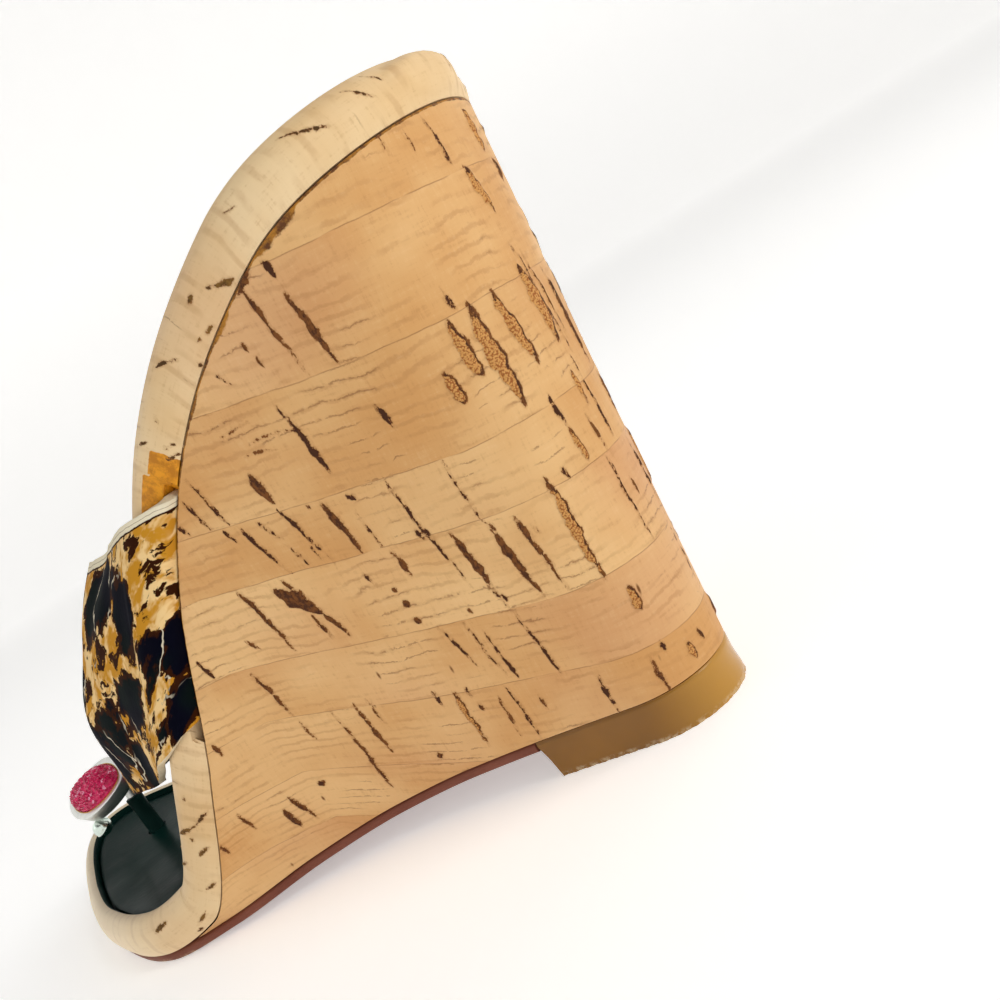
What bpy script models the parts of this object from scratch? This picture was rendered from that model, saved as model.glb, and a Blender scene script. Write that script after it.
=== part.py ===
"""A cork wedge sandal for the left foot, standing on its sole, toe towards -Y, outer side towards +X.

A tapered cork wedge stands on a rubber top lift at the heel and on a thin outsole in front. A cork-edged
footbed lies on the wedge and carries a sock. The upper is one leather wall: its two wings are tucked between
wedge and footbed, cross the instep and meet at a toe post, where a set stone and a bead sit.
Lengths are in millimetres until a mesh is made. "back" is the distance from the rear of the footbed's seam.
"""

import math
from collections import namedtuple

import bmesh
import bpy
from mathutils import Matrix, Vector

MM = 0.001
GAP = 0.3
SHARP = math.radians(38)
LATERAL = 1
MEDIAL = -1

# Driving sizes of sole and wedge.
LENGTH = 211.0
HEEL_ROUND = 26.0
TOE_START = 135.0
TOE_POWER = 1.7
SOLE_END = LENGTH - 0.5
OUTSOLE = 2.0
LIFT_HEIGHT = 8.1
LIFT_ROUND = 15.0
LIFT_BREAST = 45.5
BREAST_LEAN = 1.6
RAKE = 8.1
WEDGE_FRONT = 126.0
WEDGE_RINGS = 6
BODY_STEPS = 28
LIFT_STEPS = 4

# Driving sizes of the footbed and its sock.
BED_HEEL = 10.0
BED_TOE = 8.6
RECESS = 3.2
RIM_WIDTH = 4.2
SOCK = 1.4
SOCK_EDGE = 0.5

# Driving sizes of the upper, the toe post and the ornament.
WALL = 1.6
TUCK = 7.5
POCKET_BEHIND = 0.8
POCKET_AHEAD = 3.0
POCKET_REACH = 5.0
POCKET_SPARE = 1.0
DRIFT = 0.65
ROWS = 12
SPANS = 4
POST_RADIUS = 2.2
POST_PLACE = Vector((-10.0, -182.0, 0.0))
POST_TOP = 20.5
STONE_PLACE = Vector((-8.0, -186.6, 25.0))
STONE_FACING = Vector((0.55, -0.1, 0.83)).normalized()
STONE_HEADING = Vector((0.12, 1.0, 0.0))
STONE_HALF_LENGTH = 14.0
STONE_HALF_WIDTH = 8.2
STONE_DOME = 4.0
STONE_SUNK = 0.4
OVAL_POWER = 1.7
OVAL_FULLNESS = 0.62
BEZEL_WALL = 1.8
BEZEL_BEVEL = 0.6
BEZEL_HEIGHT = 3.4
BEZEL_FLOOR = 1.0
STEM_RADIUS = 1.5
BEAD_RADIUS = 2.6
BEAD_INSET = 0.4
BEAD_AHEAD = 3.6

# One row for each section of the last: how high the seam and the underside run, and both outlines.
Station = namedtuple("Station", "back seam top_half top_middle under base_half base_middle")
STATIONS = (
    Station(0.0, 112.0, 31.6, 0.0, 6.1, 13.5, 0.0),
    Station(20.0, 107.2, 31.6, 0.0, 6.1, 13.5, 0.0),
    Station(41.0, 98.4, 31.8, 0.0, 6.1, 13.8, 0.0),
    Station(60.0, 85.9, 32.1, 0.0, 6.0, 14.9, 0.0),
    Station(79.0, 65.3, 32.8, -0.1, 5.1, 17.3, -0.1),
    Station(99.0, 32.3, 34.6, -0.5, 3.6, 24.0, -0.3),
    Station(120.0, 5.5, 38.0, -1.3, 1.2, 34.5, -1.2),
    Station(137.0, 2.1, 39.3, -1.4, 0.0, 38.8, -1.4),
    Station(160.0, 2.0, 37.2, -4.2, 0.0, 36.7, -4.2),
    Station(180.0, 2.6, 34.8, -9.5, 0.6, 34.3, -9.5),
    Station(211.0, 6.5, 30.0, -18.0, 4.5, 29.5, -18.0),
)

# The footbed's edge: how far out it bulges and how high, the height as a share of the thickness.
Edge = namedtuple("Edge", "out rise")
BED_EDGE = (
    Edge(1.0, 0.25),
    Edge(1.3, 0.50),
    Edge(1.0, 0.72),
    Edge(0.1, 0.88),
    Edge(-0.9, 0.97),
    Edge(-2.0, 1.0),
    Edge(-3.1, 0.97),
    Edge(-3.8, 0.86),
)

# The wing's way out of its pocket and round the footbed's edge, at the middle of the wall.
Turn = namedtuple("Turn", "out rise")
TURNS = (
    Turn(-TUCK, 1.1),
    Turn(-3.5, 1.1),
    Turn(-1.0, 1.1),
    Turn(0.5, 1.1),
    Turn(1.5, 1.3),
    Turn(2.1, 2.0),
    Turn(2.4, 3.3),
    Turn(2.5, 5.2),
    Turn(2.25, 7.2),
    Turn(1.45, 9.1),
    Turn(0.3, 10.8),
)

# One row for each fold across the upper, evenly from rear edge to front edge: where it leaves the seam, then
# its way over the instep on the outer side. The inner side mirrors it about a line that leans to the crest.
Fold = namedtuple("Fold", "root side shoulder crest")
FOLDS = (
    Fold(64.5, Vector((25.5, -93.0, 79.5)), Vector((15.5, -111.0, 78.0)), Vector((-2.0, -122.0, 77.0))),
    Fold(73.5, Vector((27.3, -104.0, 68.5)), Vector((17.3, -125.0, 66.0)), Vector((-3.5, -140.0, 62.0))),
    Fold(82.5, Vector((26.3, -116.5, 52.5)), Vector((16.5, -140.0, 49.0)), Vector((-5.0, -158.5, 42.5))),
    Fold(91.0, Vector((21.5, -126.8, 31.9)), Vector((10.2, -150.0, 28.0)), Vector((-7.4, -171.2, 23.8))),
)
SIDE_SHIFT = 0.3
SHOULDER_SHIFT = 0.6


def through(column):
    """A smooth curve through one column of STATIONS that never swings past a row."""
    backs = [row.back for row in STATIONS]
    values = [getattr(row, column) for row in STATIONS]
    slopes = [(values[i + 1] - values[i]) / (backs[i + 1] - backs[i]) for i in range(len(backs) - 1)]
    tangents = [slopes[0]]
    for before, after in zip(slopes, slopes[1:]):
        product = before * after
        tangents.append(2 * product / (before + after) if product > 0 else 0.0)
    tangents.append(slopes[-1])

    def at(back):
        back = min(max(back, backs[0]), backs[-1])
        i = max(k for k in range(len(slopes)) if backs[k] <= back)
        step = backs[i + 1] - backs[i]
        t = (back - backs[i]) / step
        start = (1 + 2 * t) * (1 - t) ** 2 * values[i] + t * t * (3 - 2 * t) * values[i + 1]
        lean = t * (1 - t) ** 2 * tangents[i] - t * t * (1 - t) * tangents[i + 1]
        return start + step * lean

    return at


seam_at = through("seam")
under_at = through("under")
top_half_at = through("top_half")
top_middle_at = through("top_middle")
base_half_at = through("base_half")
base_middle_at = through("base_middle")


def bed_thickness(back):
    share = min(max((back / LENGTH - 0.5) / 0.4, 0.0), 1.0)
    return BED_HEEL + (BED_TOE - BED_HEEL) * share


def seam_normal(back):
    """The seam surface's upward normal, as (y, z)."""
    step = 0.5
    rise = (seam_at(back - step) - seam_at(back + step)) / (2 * step)
    length = math.hypot(rise, 1.0)
    return -rise / length, 1.0 / length


def over_seam(x, back, height):
    """A point this high above the seam surface, measured square to it."""
    normal_y, normal_z = seam_normal(back)
    return Vector((x, -back + normal_y * height, seam_at(back) + normal_z * height))


def rounding(back, start, heel_round, end, toe_start):
    """How much of its full width an outline has this far along: round at the heel and at the toe."""
    share = 1.0
    if back < start + heel_round:
        share = math.sqrt(max(0.0, 1 - ((start + heel_round - back) / heel_round) ** 2))
    if back > toe_start:
        t = min(1.0, (back - toe_start) / (end - toe_start))
        share *= math.sqrt(max(0.0, 1 - t**TOE_POWER))
    return share


def spread(start, stop, count):
    return [start + (stop - start) * i / count for i in range(count + 1)]


def stations_along(start, heel_round, stop, steps, toe_start=None):
    """Distances from the heel, closer together round the heel and, where the outline has one, the toe."""
    angles = spread(0.0, math.pi / 2, 7)
    first = [start + heel_round * (1 - math.cos(a)) for a in angles] if heel_round else [start]
    if toe_start is None:
        return first + spread(first[-1], stop, steps)[1:]
    middle = spread(first[-1], toe_start, steps)
    last = [toe_start + (stop - toe_start) * math.sin(a) for a in spread(0.0, math.pi / 2, 14)]
    return first + middle[1:] + last[1:]


def top_outline(inset=0.0, stop=None):
    """The seam's outline, as (back, outer x, inner x) rows. A negative inset lies outside it."""
    end = LENGTH - inset
    toe = TOE_START if stop is None else None
    rows = []
    for back in stations_along(inset, HEEL_ROUND, end if stop is None else stop, BODY_STEPS, toe):
        share = rounding(back, inset, HEEL_ROUND, end, TOE_START)
        half = (top_half_at(back) - inset) * share
        middle = top_middle_at(back)
        rows.append((back, middle + half, middle - half))
    return rows


def base_row(back):
    share = rounding(back, RAKE, LIFT_ROUND, SOLE_END, TOE_START)
    half = base_half_at(back) * share
    middle = base_middle_at(back)
    return back, middle + half, middle - half


def make_object(name, points, faces, material):
    mesh = bpy.data.meshes.new(name)
    mesh.from_pydata([Vector(p) * MM for p in points], [], faces)
    mesh.validate()
    mesh.materials.append(material)
    mesh.shade_smooth()
    mesh.set_sharp_from_angle(angle=SHARP)
    obj = bpy.data.objects.new(name, mesh)
    bpy.context.scene.collection.objects.link(obj)
    return obj


def rings_object(name, rings, material):
    """A closed solid through rings that lie one over another, lowest first.

    A ring is (outer side points, inner side points), both heel to toe. The two sides share a point where the
    outline is round, and a flat end joins them where it isn't. Bottom and top are closed by strips across.
    """
    points = []
    loops = []
    sides = []
    for outer, inner in rings:
        index = {}
        for point in outer + inner:
            key = tuple(round(value, 6) for value in point)
            if key not in index:
                index[key] = len(points)
                points.append(point)
        first = [index[tuple(round(value, 6) for value in point)] for point in outer]
        second = [index[tuple(round(value, 6) for value in point)] for point in inner]
        loop = list(dict.fromkeys(first + second[::-1]))
        loops.append(loop)
        sides.append((first, second))
    faces = []
    for low, high in zip(loops, loops[1:]):
        for i in range(len(low)):
            j = (i + 1) % len(low)
            faces.append((low[j], low[i], high[i], high[j]))
    for (first, second), is_top in ((sides[0], False), (sides[-1], True)):
        for i in range(len(first) - 1):
            strip = (first[i], first[i + 1], second[i + 1], second[i])
            strip = tuple(dict.fromkeys(strip))
            faces.append(strip[::-1] if is_top else strip)
    return make_object(name, points, faces, material)


def bed_ring(inset, height_of):
    """A ring of the footbed at one inset from the seam's outline."""
    rows = top_outline(inset)
    outer = [over_seam(x, back, height_of(back)) for back, x, _ in rows]
    inner = [over_seam(x, back, height_of(back)) for back, _, x in rows]
    return outer, inner


def cut(obj, cutter):
    modifier = obj.modifiers.new("cut", "BOOLEAN")
    modifier.operation = "DIFFERENCE"
    modifier.solver = "EXACT"
    modifier.object = cutter
    cutter.hide_render = True
    cutter.display_type = "WIRE"


def make_material(name, color, roughness, metallic=0.0):
    material = bpy.data.materials.new(name)
    material.use_nodes = True
    shader = material.node_tree.nodes["Principled BSDF"]
    shader.inputs["Base Color"].default_value = (*color, 1.0)
    shader.inputs["Roughness"].default_value = roughness
    shader.inputs["Metallic"].default_value = metallic
    return material


def add_top_lift(material):
    """The rubber piece under the heel, with a straight breast that leans back towards its foot."""
    rings = []
    for height in (0.0, LIFT_HEIGHT):
        breast = LIFT_BREAST - BREAST_LEAN * (1 - height / LIFT_HEIGHT)
        rows = [base_row(b) for b in stations_along(RAKE, LIFT_ROUND, breast, LIFT_STEPS)]
        outer = [Vector((x, -back, height)) for back, x, _ in rows]
        inner = [Vector((x, -back, height)) for back, _, x in rows]
        rings.append((outer, inner))
    return rings_object("top_lift", rings, material)


def add_outsole(material):
    """The thin sole, from the lift's breast to the toe, flat on the floor under the ball."""
    backs = stations_along(LIFT_BREAST + GAP, 0.0, SOLE_END, BODY_STEPS, TOE_START)
    rows = [base_row(b) for b in backs]
    rings = []
    for height in (0.0, OUTSOLE):
        outer = [Vector((x, -back, under_at(back) + height)) for back, x, _ in rows]
        inner = [Vector((x, -back, under_at(back) + height)) for back, _, x in rows]
        rings.append((outer, inner))
    return rings_object("outsole", rings, material)


def add_wedge(material):
    """The cork body: straight lines run from the seam's outline down to the narrow base."""
    tops = top_outline(stop=WEDGE_FRONT)
    rings = []
    for level in spread(0.0, 1.0, WEDGE_RINGS):
        outer = []
        inner = []
        for back, outer_x, inner_x in tops:
            base_back = RAKE + back * (WEDGE_FRONT - RAKE) / WEDGE_FRONT
            _, low_outer, low_inner = base_row(base_back)
            low = under_at(base_back) + OUTSOLE + GAP
            y = -base_back + (base_back - back) * level
            z = low + (seam_at(back) - low) * level
            outer.append(Vector((low_outer + (outer_x - low_outer) * level, y, z)))
            inner.append(Vector((low_inner + (inner_x - low_inner) * level, y, z)))
        rings.append((outer, inner))
    return rings_object("wedge", rings, material)


def edge_x(back, side):
    return top_middle_at(back) + side * top_half_at(back)


def add_pocket_cutter(side):
    """The shallow pocket in the footbed's underside, which a wing's end lies in."""
    first = FOLDS[0].root - POCKET_BEHIND
    last = FOLDS[-1].root + POCKET_AHEAD
    rings = []
    for height in (-GAP, WALL + 2 * GAP):
        far = []
        near = []
        for back in spread(first, last, 8):
            edge = edge_x(back, side)
            far.append(over_seam(edge + side * POCKET_REACH, back, height))
            near.append(over_seam(edge - side * (TUCK + POCKET_SPARE), back, height))
        rings.append((far, near) if side == LATERAL else (near, far))
    return rings_object(f"pocket_cutter_{'outer' if side == LATERAL else 'inner'}", rings, None)


def add_footbed(material):
    """The cork-edged board under the foot, with a bulging rim round a shallow recess."""
    rings = [bed_ring(0.0, lambda back: GAP)]
    for edge in BED_EDGE:
        rings.append(bed_ring(-edge.out, lambda back, rise=edge.rise: rise * bed_thickness(back)))
    rings.append(bed_ring(RIM_WIDTH, lambda back: bed_thickness(back) - RECESS))
    footbed = rings_object("footbed", rings, material)
    for side in (LATERAL, MEDIAL):
        cut(footbed, add_pocket_cutter(side))
    return footbed


def add_sock(material):
    """The lining that the foot stands on, in the footbed's recess, with the toe post's hole."""
    rings = []
    for inset, height in ((0.0, 0.0), (0.0, SOCK - SOCK_EDGE), (SOCK_EDGE, SOCK)):
        rise = GAP - RECESS + height
        rings.append(bed_ring(RIM_WIDTH + GAP + inset, lambda back, r=rise: bed_thickness(back) + r))
    sock = rings_object("insole", rings, material)
    cut(sock, add_post_hole_cutter())
    return sock


def turned_rings(place, radius, heights):
    """Round rings of one radius about an upright line, one at each height."""
    rings = []
    for height in heights:
        outer = []
        inner = []
        for angle in spread(0.0, math.pi, 10):
            across = radius * math.sin(angle)
            along = place.y + radius * math.cos(angle)
            outer.append(Vector((place.x + across, along, height)))
            inner.append(Vector((place.x - across, along, height)))
        rings.append((outer, inner))
    return rings


def add_toe_post(material):
    """The round post between the first two toes, through the insole's hole."""
    foot = floor_of_recess(-POST_PLACE.y) + GAP
    return rings_object("toe_post", turned_rings(POST_PLACE, POST_RADIUS, (foot, POST_TOP)), material)


def add_post_hole_cutter():
    level = floor_of_recess(-POST_PLACE.y)
    rings = turned_rings(POST_PLACE, POST_RADIUS + GAP, (level - 2 * SOCK, level + 3 * SOCK))
    return rings_object("post_hole_cutter", rings, None)


def ornament_axes():
    """The ornament's directions: towards the heel, outwards and up out of its face."""
    heading = (STONE_HEADING - STONE_FACING * STONE_HEADING.dot(STONE_FACING)).normalized()
    return heading, heading.cross(STONE_FACING), STONE_FACING


def ornament_ring(inset, height, size=1.0):
    """A pointed oval about the ornament's middle, this far inside the bezel's outline."""
    heading, outwards, facing = ornament_axes()
    outer = []
    inner = []
    for angle in spread(0.0, math.pi, 16):
        along = math.cos(angle)
        width = (1 - abs(along) ** OVAL_POWER) ** OVAL_FULLNESS
        middle = STONE_PLACE + heading * along * (STONE_HALF_LENGTH - inset) * size + facing * height
        across = outwards * width * (STONE_HALF_WIDTH - inset) * size
        outer.append(middle + across)
        inner.append(middle - across)
    return outer, inner


def add_bezel(material):
    """The metal cup round the stone, on a stem that stands on the toe post."""
    rings = [
        ornament_ring(BEZEL_BEVEL, 0.0),
        ornament_ring(0.0, BEZEL_BEVEL),
        ornament_ring(0.0, BEZEL_HEIGHT),
        ornament_ring(BEZEL_WALL, BEZEL_HEIGHT),
        ornament_ring(BEZEL_WALL, BEZEL_FLOOR),
    ]
    bezel = rings_object("bezel", rings, material)
    reach = (STONE_PLACE.z + BEZEL_FLOOR / 2) + (STONE_PLACE - POST_PLACE).x * STONE_FACING.x / STONE_FACING.z
    stem = rings_object("stem_core", turned_rings(POST_PLACE, STEM_RADIUS, (POST_TOP + GAP, reach)), None)
    stem.hide_render = True
    stem.display_type = "WIRE"
    modifier = bezel.modifiers.new("stem", "BOOLEAN")
    modifier.operation = "UNION"
    modifier.solver = "EXACT"
    modifier.object = stem
    return bezel


def add_stone(material):
    """The domed stone in the bezel."""
    inset = BEZEL_WALL + GAP
    low = BEZEL_FLOOR + GAP
    rings = [ornament_ring(inset, low)]
    for angle in spread(0.0, math.radians(80), 6):
        rings.append(ornament_ring(inset, BEZEL_HEIGHT - STONE_SUNK + STONE_DOME * math.sin(angle), math.cos(angle)))
    return rings_object("stone", rings, material)


def add_bead(name, side, material):
    """A metal bead against the bezel's wall, a little below it."""
    heading, outwards, facing = ornament_axes()
    across = (STONE_HALF_WIDTH - BEAD_INSET) * side * outwards
    place = STONE_PLACE + across - heading * BEAD_AHEAD - facing * (BEAD_RADIUS + GAP)
    bm = bmesh.new()
    bmesh.ops.create_uvsphere(bm, u_segments=20, v_segments=12, radius=BEAD_RADIUS * MM)
    bmesh.ops.translate(bm, verts=bm.verts, vec=place * MM)
    mesh = bpy.data.meshes.new(name)
    bm.to_mesh(mesh)
    bm.free()
    mesh.materials.append(material)
    mesh.shade_smooth()
    bead = bpy.data.objects.new(name, mesh)
    bpy.context.scene.collection.objects.link(bead)
    return bead


def floor_of_recess(back):
    """The height above the floor of the footbed's recess, where the footbed is nearly level."""
    return seam_at(back) + bed_thickness(back) - RECESS


def blend(before, start, stop, after, t):
    """A Catmull-Rom curve's value between start and stop."""
    bend = (before * 2 - start * 5 + stop * 4 - after) * t * t
    twist = (start * 3 - before - stop * 3 + after) * t**3
    return (start * 2 + (stop - before) * t + bend + twist) * 0.5


def between_folds(share):
    """The upper's course at one share of its width, rear to front: root, side, shoulder and crest."""
    i = min(int(share * (len(FOLDS) - 1)), len(FOLDS) - 2)
    t = share * (len(FOLDS) - 1) - i
    course = []
    for column in range(len(Fold._fields)):
        values = [row[column] for row in FOLDS]
        values = [values[0] * 2 - values[1]] + values + [values[-1] * 2 - values[-2]]
        course.append(blend(*values[i : i + 4], t))
    return course


def round_the_edge(root, side):
    """A wing's points from its tucked end to the top of the footbed's edge."""
    points = []
    for turn in TURNS:
        back = root + DRIFT * turn.rise
        x = edge_x(back, side) + side * turn.out
        points.append(over_seam(x, back, turn.rise))
    return points


def smooth_path(points, spans):
    """Points on a Catmull-Rom curve through the given ones, this many to a stretch."""
    ends = [points[0] * 2 - points[1]] + points + [points[-1] * 2 - points[-2]]
    path = []
    for stretch in zip(ends, ends[1:], ends[2:], ends[3:]):
        path += [blend(*stretch, step / spans) for step in range(spans)]
    path.append(points[-1])
    return path


def fold_line(share):
    """One line across the upper, from the outer pocket over the instep to the inner one."""
    root, side, shoulder, crest = between_folds(share)
    outer = round_the_edge(root, LATERAL)
    inner = round_the_edge(root, MEDIAL)
    far_side = mirrored(side, crest.x * SIDE_SHIFT)
    far_shoulder = mirrored(shoulder, crest.x * SHOULDER_SHIFT)
    free = outer[-2:] + [side, shoulder, crest, far_shoulder, far_side] + inner[:-3:-1]
    return outer[:-2] + smooth_path(free, SPANS) + inner[-3::-1]


def mirrored(point, middle):
    return Vector((2 * middle - point.x, point.y, point.z))


def add_upper(material):
    """The leather wall: a sheet through the fold lines, with half its thickness on either side."""
    lines = [fold_line(share) for share in spread(0.0, 1.0, ROWS)]
    columns = len(lines[0])
    out_side = []
    in_side = []
    for r, line in enumerate(lines):
        before = lines[max(r - 1, 0)]
        after = lines[min(r + 1, ROWS)]
        for c, point in enumerate(line):
            along = line[min(c + 1, columns - 1)] - line[max(c - 1, 0)]
            normal = (after[c] - before[c]).cross(along).normalized()
            out_side.append(point + normal * WALL / 2)
            in_side.append(point - normal * WALL / 2)
    points = out_side + in_side
    shift = len(out_side)
    faces = []
    for r in range(ROWS):
        for c in range(columns - 1):
            a = r * columns + c
            b = a + columns
            faces.append((a, b, b + 1, a + 1))
            faces.append((shift + a + 1, shift + b + 1, shift + b, shift + a))
    border = list(range(columns))
    border += [r * columns + columns - 1 for r in range(1, ROWS + 1)]
    border += [ROWS * columns + c for c in range(columns - 2, -1, -1)]
    border += [r * columns for r in range(ROWS - 1, 0, -1)]
    for a, b in zip(border, border[1:] + border[:1]):
        faces.append((a, b, shift + b, shift + a))
    return make_object("upper", points, faces, material)


def centre_over_origin():
    """Moves every mesh alike, so that the shoe's box stands centred over the origin."""
    corners = []
    for obj in bpy.data.objects:
        if not obj.hide_render:
            corners += [vertex.co for vertex in obj.data.vertices]
    middle_x = (min(c.x for c in corners) + max(c.x for c in corners)) / 2
    middle_y = (min(c.y for c in corners) + max(c.y for c in corners)) / 2
    for obj in bpy.data.objects:
        obj.data.transform(Matrix.Translation((-middle_x, -middle_y, 0.0)))


def main():
    for obj in list(bpy.data.objects):
        bpy.data.objects.remove(obj)
    cork = make_material("cork_veneer", (0.62, 0.40, 0.22), 0.55)
    rim_cork = make_material("rim_cork", (0.69, 0.49, 0.27), 0.5)
    teal = make_material("sock_leather", (0.01, 0.03, 0.03), 0.2)
    sole_rubber = make_material("sole_rubber", (0.25, 0.09, 0.07), 0.6)
    lift_rubber = make_material("lift_rubber", (0.30, 0.16, 0.05), 0.35)
    print_leather = make_material("print_leather", (0.45, 0.28, 0.10), 0.25)
    post_leather = make_material("post_leather", (0.03, 0.02, 0.02), 0.35)
    silver = make_material("silver_metal", (0.80, 0.79, 0.76), 0.25, 1.0)
    pink = make_material("pink_stone", (0.45, 0.01, 0.08), 0.3)
    add_top_lift(lift_rubber)
    add_outsole(sole_rubber)
    add_wedge(cork)
    add_footbed(rim_cork)
    add_sock(teal)
    add_upper(print_leather)
    add_toe_post(post_leather)
    add_bezel(silver)
    add_stone(pink)
    add_bead("bead_outer", LATERAL, silver)
    add_bead("bead_inner", MEDIAL, silver)
    centre_over_origin()


if __name__ == "__main__":
    main()
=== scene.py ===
"""Looks of a cork wedge sandal for the left foot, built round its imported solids.

The toe points to -Y, the outer side to +X and the floor is z = 0. The classes hold sizes in millimetres, in
the last's own frame, where "back" is the distance from the rear of the footbed's seam. Last.place() turns
them to metres.
"""

from __future__ import annotations

import logging
import math
from dataclasses import dataclass
from enum import Enum
from typing import Any, Callable, NamedTuple, Sequence

import bmesh
import bpy
import numpy as np
from mathutils import Matrix, Vector


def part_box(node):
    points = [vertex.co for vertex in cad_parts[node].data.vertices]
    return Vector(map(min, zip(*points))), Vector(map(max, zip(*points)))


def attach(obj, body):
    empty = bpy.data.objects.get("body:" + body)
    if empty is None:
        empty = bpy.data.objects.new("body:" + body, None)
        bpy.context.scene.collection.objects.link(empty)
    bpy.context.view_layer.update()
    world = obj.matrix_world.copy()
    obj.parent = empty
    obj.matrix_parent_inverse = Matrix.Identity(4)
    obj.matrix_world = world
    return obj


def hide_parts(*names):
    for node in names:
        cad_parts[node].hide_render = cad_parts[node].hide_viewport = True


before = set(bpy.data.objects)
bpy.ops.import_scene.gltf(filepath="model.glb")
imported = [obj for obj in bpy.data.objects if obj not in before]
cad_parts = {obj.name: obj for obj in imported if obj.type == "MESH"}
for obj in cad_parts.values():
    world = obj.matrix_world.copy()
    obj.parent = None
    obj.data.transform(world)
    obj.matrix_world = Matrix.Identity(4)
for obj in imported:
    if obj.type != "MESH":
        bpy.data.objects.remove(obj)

MM = 0.001
# A wave texture repeats about this many times within its scale.
WAVES = 3.1
# Settings that many nodes share.
SOFT = {"interpolation_type": "SMOOTHSTEP"}
PLUS, LESS, TIMES, MOST = ({"operation": name} for name in ("ADD", "SUBTRACT", "MULTIPLY", "MAXIMUM"))
Array = np.ndarray
Layers = list[tuple[Any, Any]]
LOG = logging.getLogger("wedge_sandal")


def linear(hex_code: str) -> tuple[float, float, float, float]:
    """Turns an sRGB hex colour to linear RGBA.

    Args:
        hex_code: six hex digits, such as "D9A56B".

    Returns:
        Red, green, blue and an alpha of one.
    """
    parts = [int(hex_code[i : i + 2], 16) / 255 for i in (0, 2, 4)]
    turned = [c / 12.92 if c <= 0.04045 else ((c + 0.055) / 1.055) ** 2.4 for c in parts]
    return (*turned, 1.0)


def per_mm(size: float) -> float:
    """The texture scale, on coordinates in metres, of a pattern whose features are this many millimetres."""
    return 1000.0 / size


def smooth_step(value: Array, low: float, high: float) -> Array:
    """Rises softly from 0 at low to 1 at high."""
    t = np.clip((value - low) / (high - low), 0.0, 1.0)
    return t * t * (3 - 2 * t)


def catmull(points: Array, spans: int) -> Array:
    """Points on a Catmull-Rom curve through the given ones.

    Args:
        points: one row per point.
        spans: how many points each stretch gets.

    Returns:
        The curve's points, with the last given one at the end.
    """
    ends = np.vstack([2 * points[0] - points[1], points, 2 * points[-1] - points[-2]])
    t = (np.arange(spans) / spans)[:, None]
    path = []
    for a, b, c, d in zip(ends, ends[1:], ends[2:], ends[3:]):
        bend = (2 * a - 5 * b + 4 * c - d) * t**2
        path.append(0.5 * (2 * b + (c - a) * t + bend + (3 * b - a - 3 * c + d) * t**3))
    return np.vstack(path + [points[-1:]])


def evenly(points: Array, count: int) -> Array:
    """The same line through this many points, evenly spaced along it."""
    steps = np.linalg.norm(np.diff(points, axis=0), axis=1)
    along = np.concatenate([[0.0], np.cumsum(steps)])
    wanted = np.linspace(0.0, along[-1], count)
    return np.stack([np.interp(wanted, along, column) for column in points.T], axis=1)


class Side(Enum):
    """Which side of the foot a half of a piece lies on."""

    OUTER = 1
    INNER = -1


class Station(NamedTuple):
    """One section of the last."""

    back: float
    seam: float
    top_half: float
    top_middle: float
    under: float
    base_half: float
    base_middle: float


STATIONS = (
    Station(0.0, 112.0, 31.6, 0.0, 6.1, 13.5, 0.0),
    Station(20.0, 107.2, 31.6, 0.0, 6.1, 13.5, 0.0),
    Station(41.0, 98.4, 31.8, 0.0, 6.1, 13.8, 0.0),
    Station(60.0, 85.9, 32.1, 0.0, 6.0, 14.9, 0.0),
    Station(79.0, 65.3, 32.8, -0.1, 5.1, 17.3, -0.1),
    Station(99.0, 32.3, 34.6, -0.5, 3.6, 24.0, -0.3),
    Station(120.0, 5.5, 38.0, -1.3, 1.2, 34.5, -1.2),
    Station(137.0, 2.1, 39.3, -1.4, 0.0, 38.8, -1.4),
    Station(160.0, 2.0, 37.2, -4.2, 0.0, 36.7, -4.2),
    Station(180.0, 2.6, 34.8, -9.5, 0.6, 34.3, -9.5),
    Station(211.0, 6.5, 30.0, -18.0, 4.5, 29.5, -18.0),
)


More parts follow.
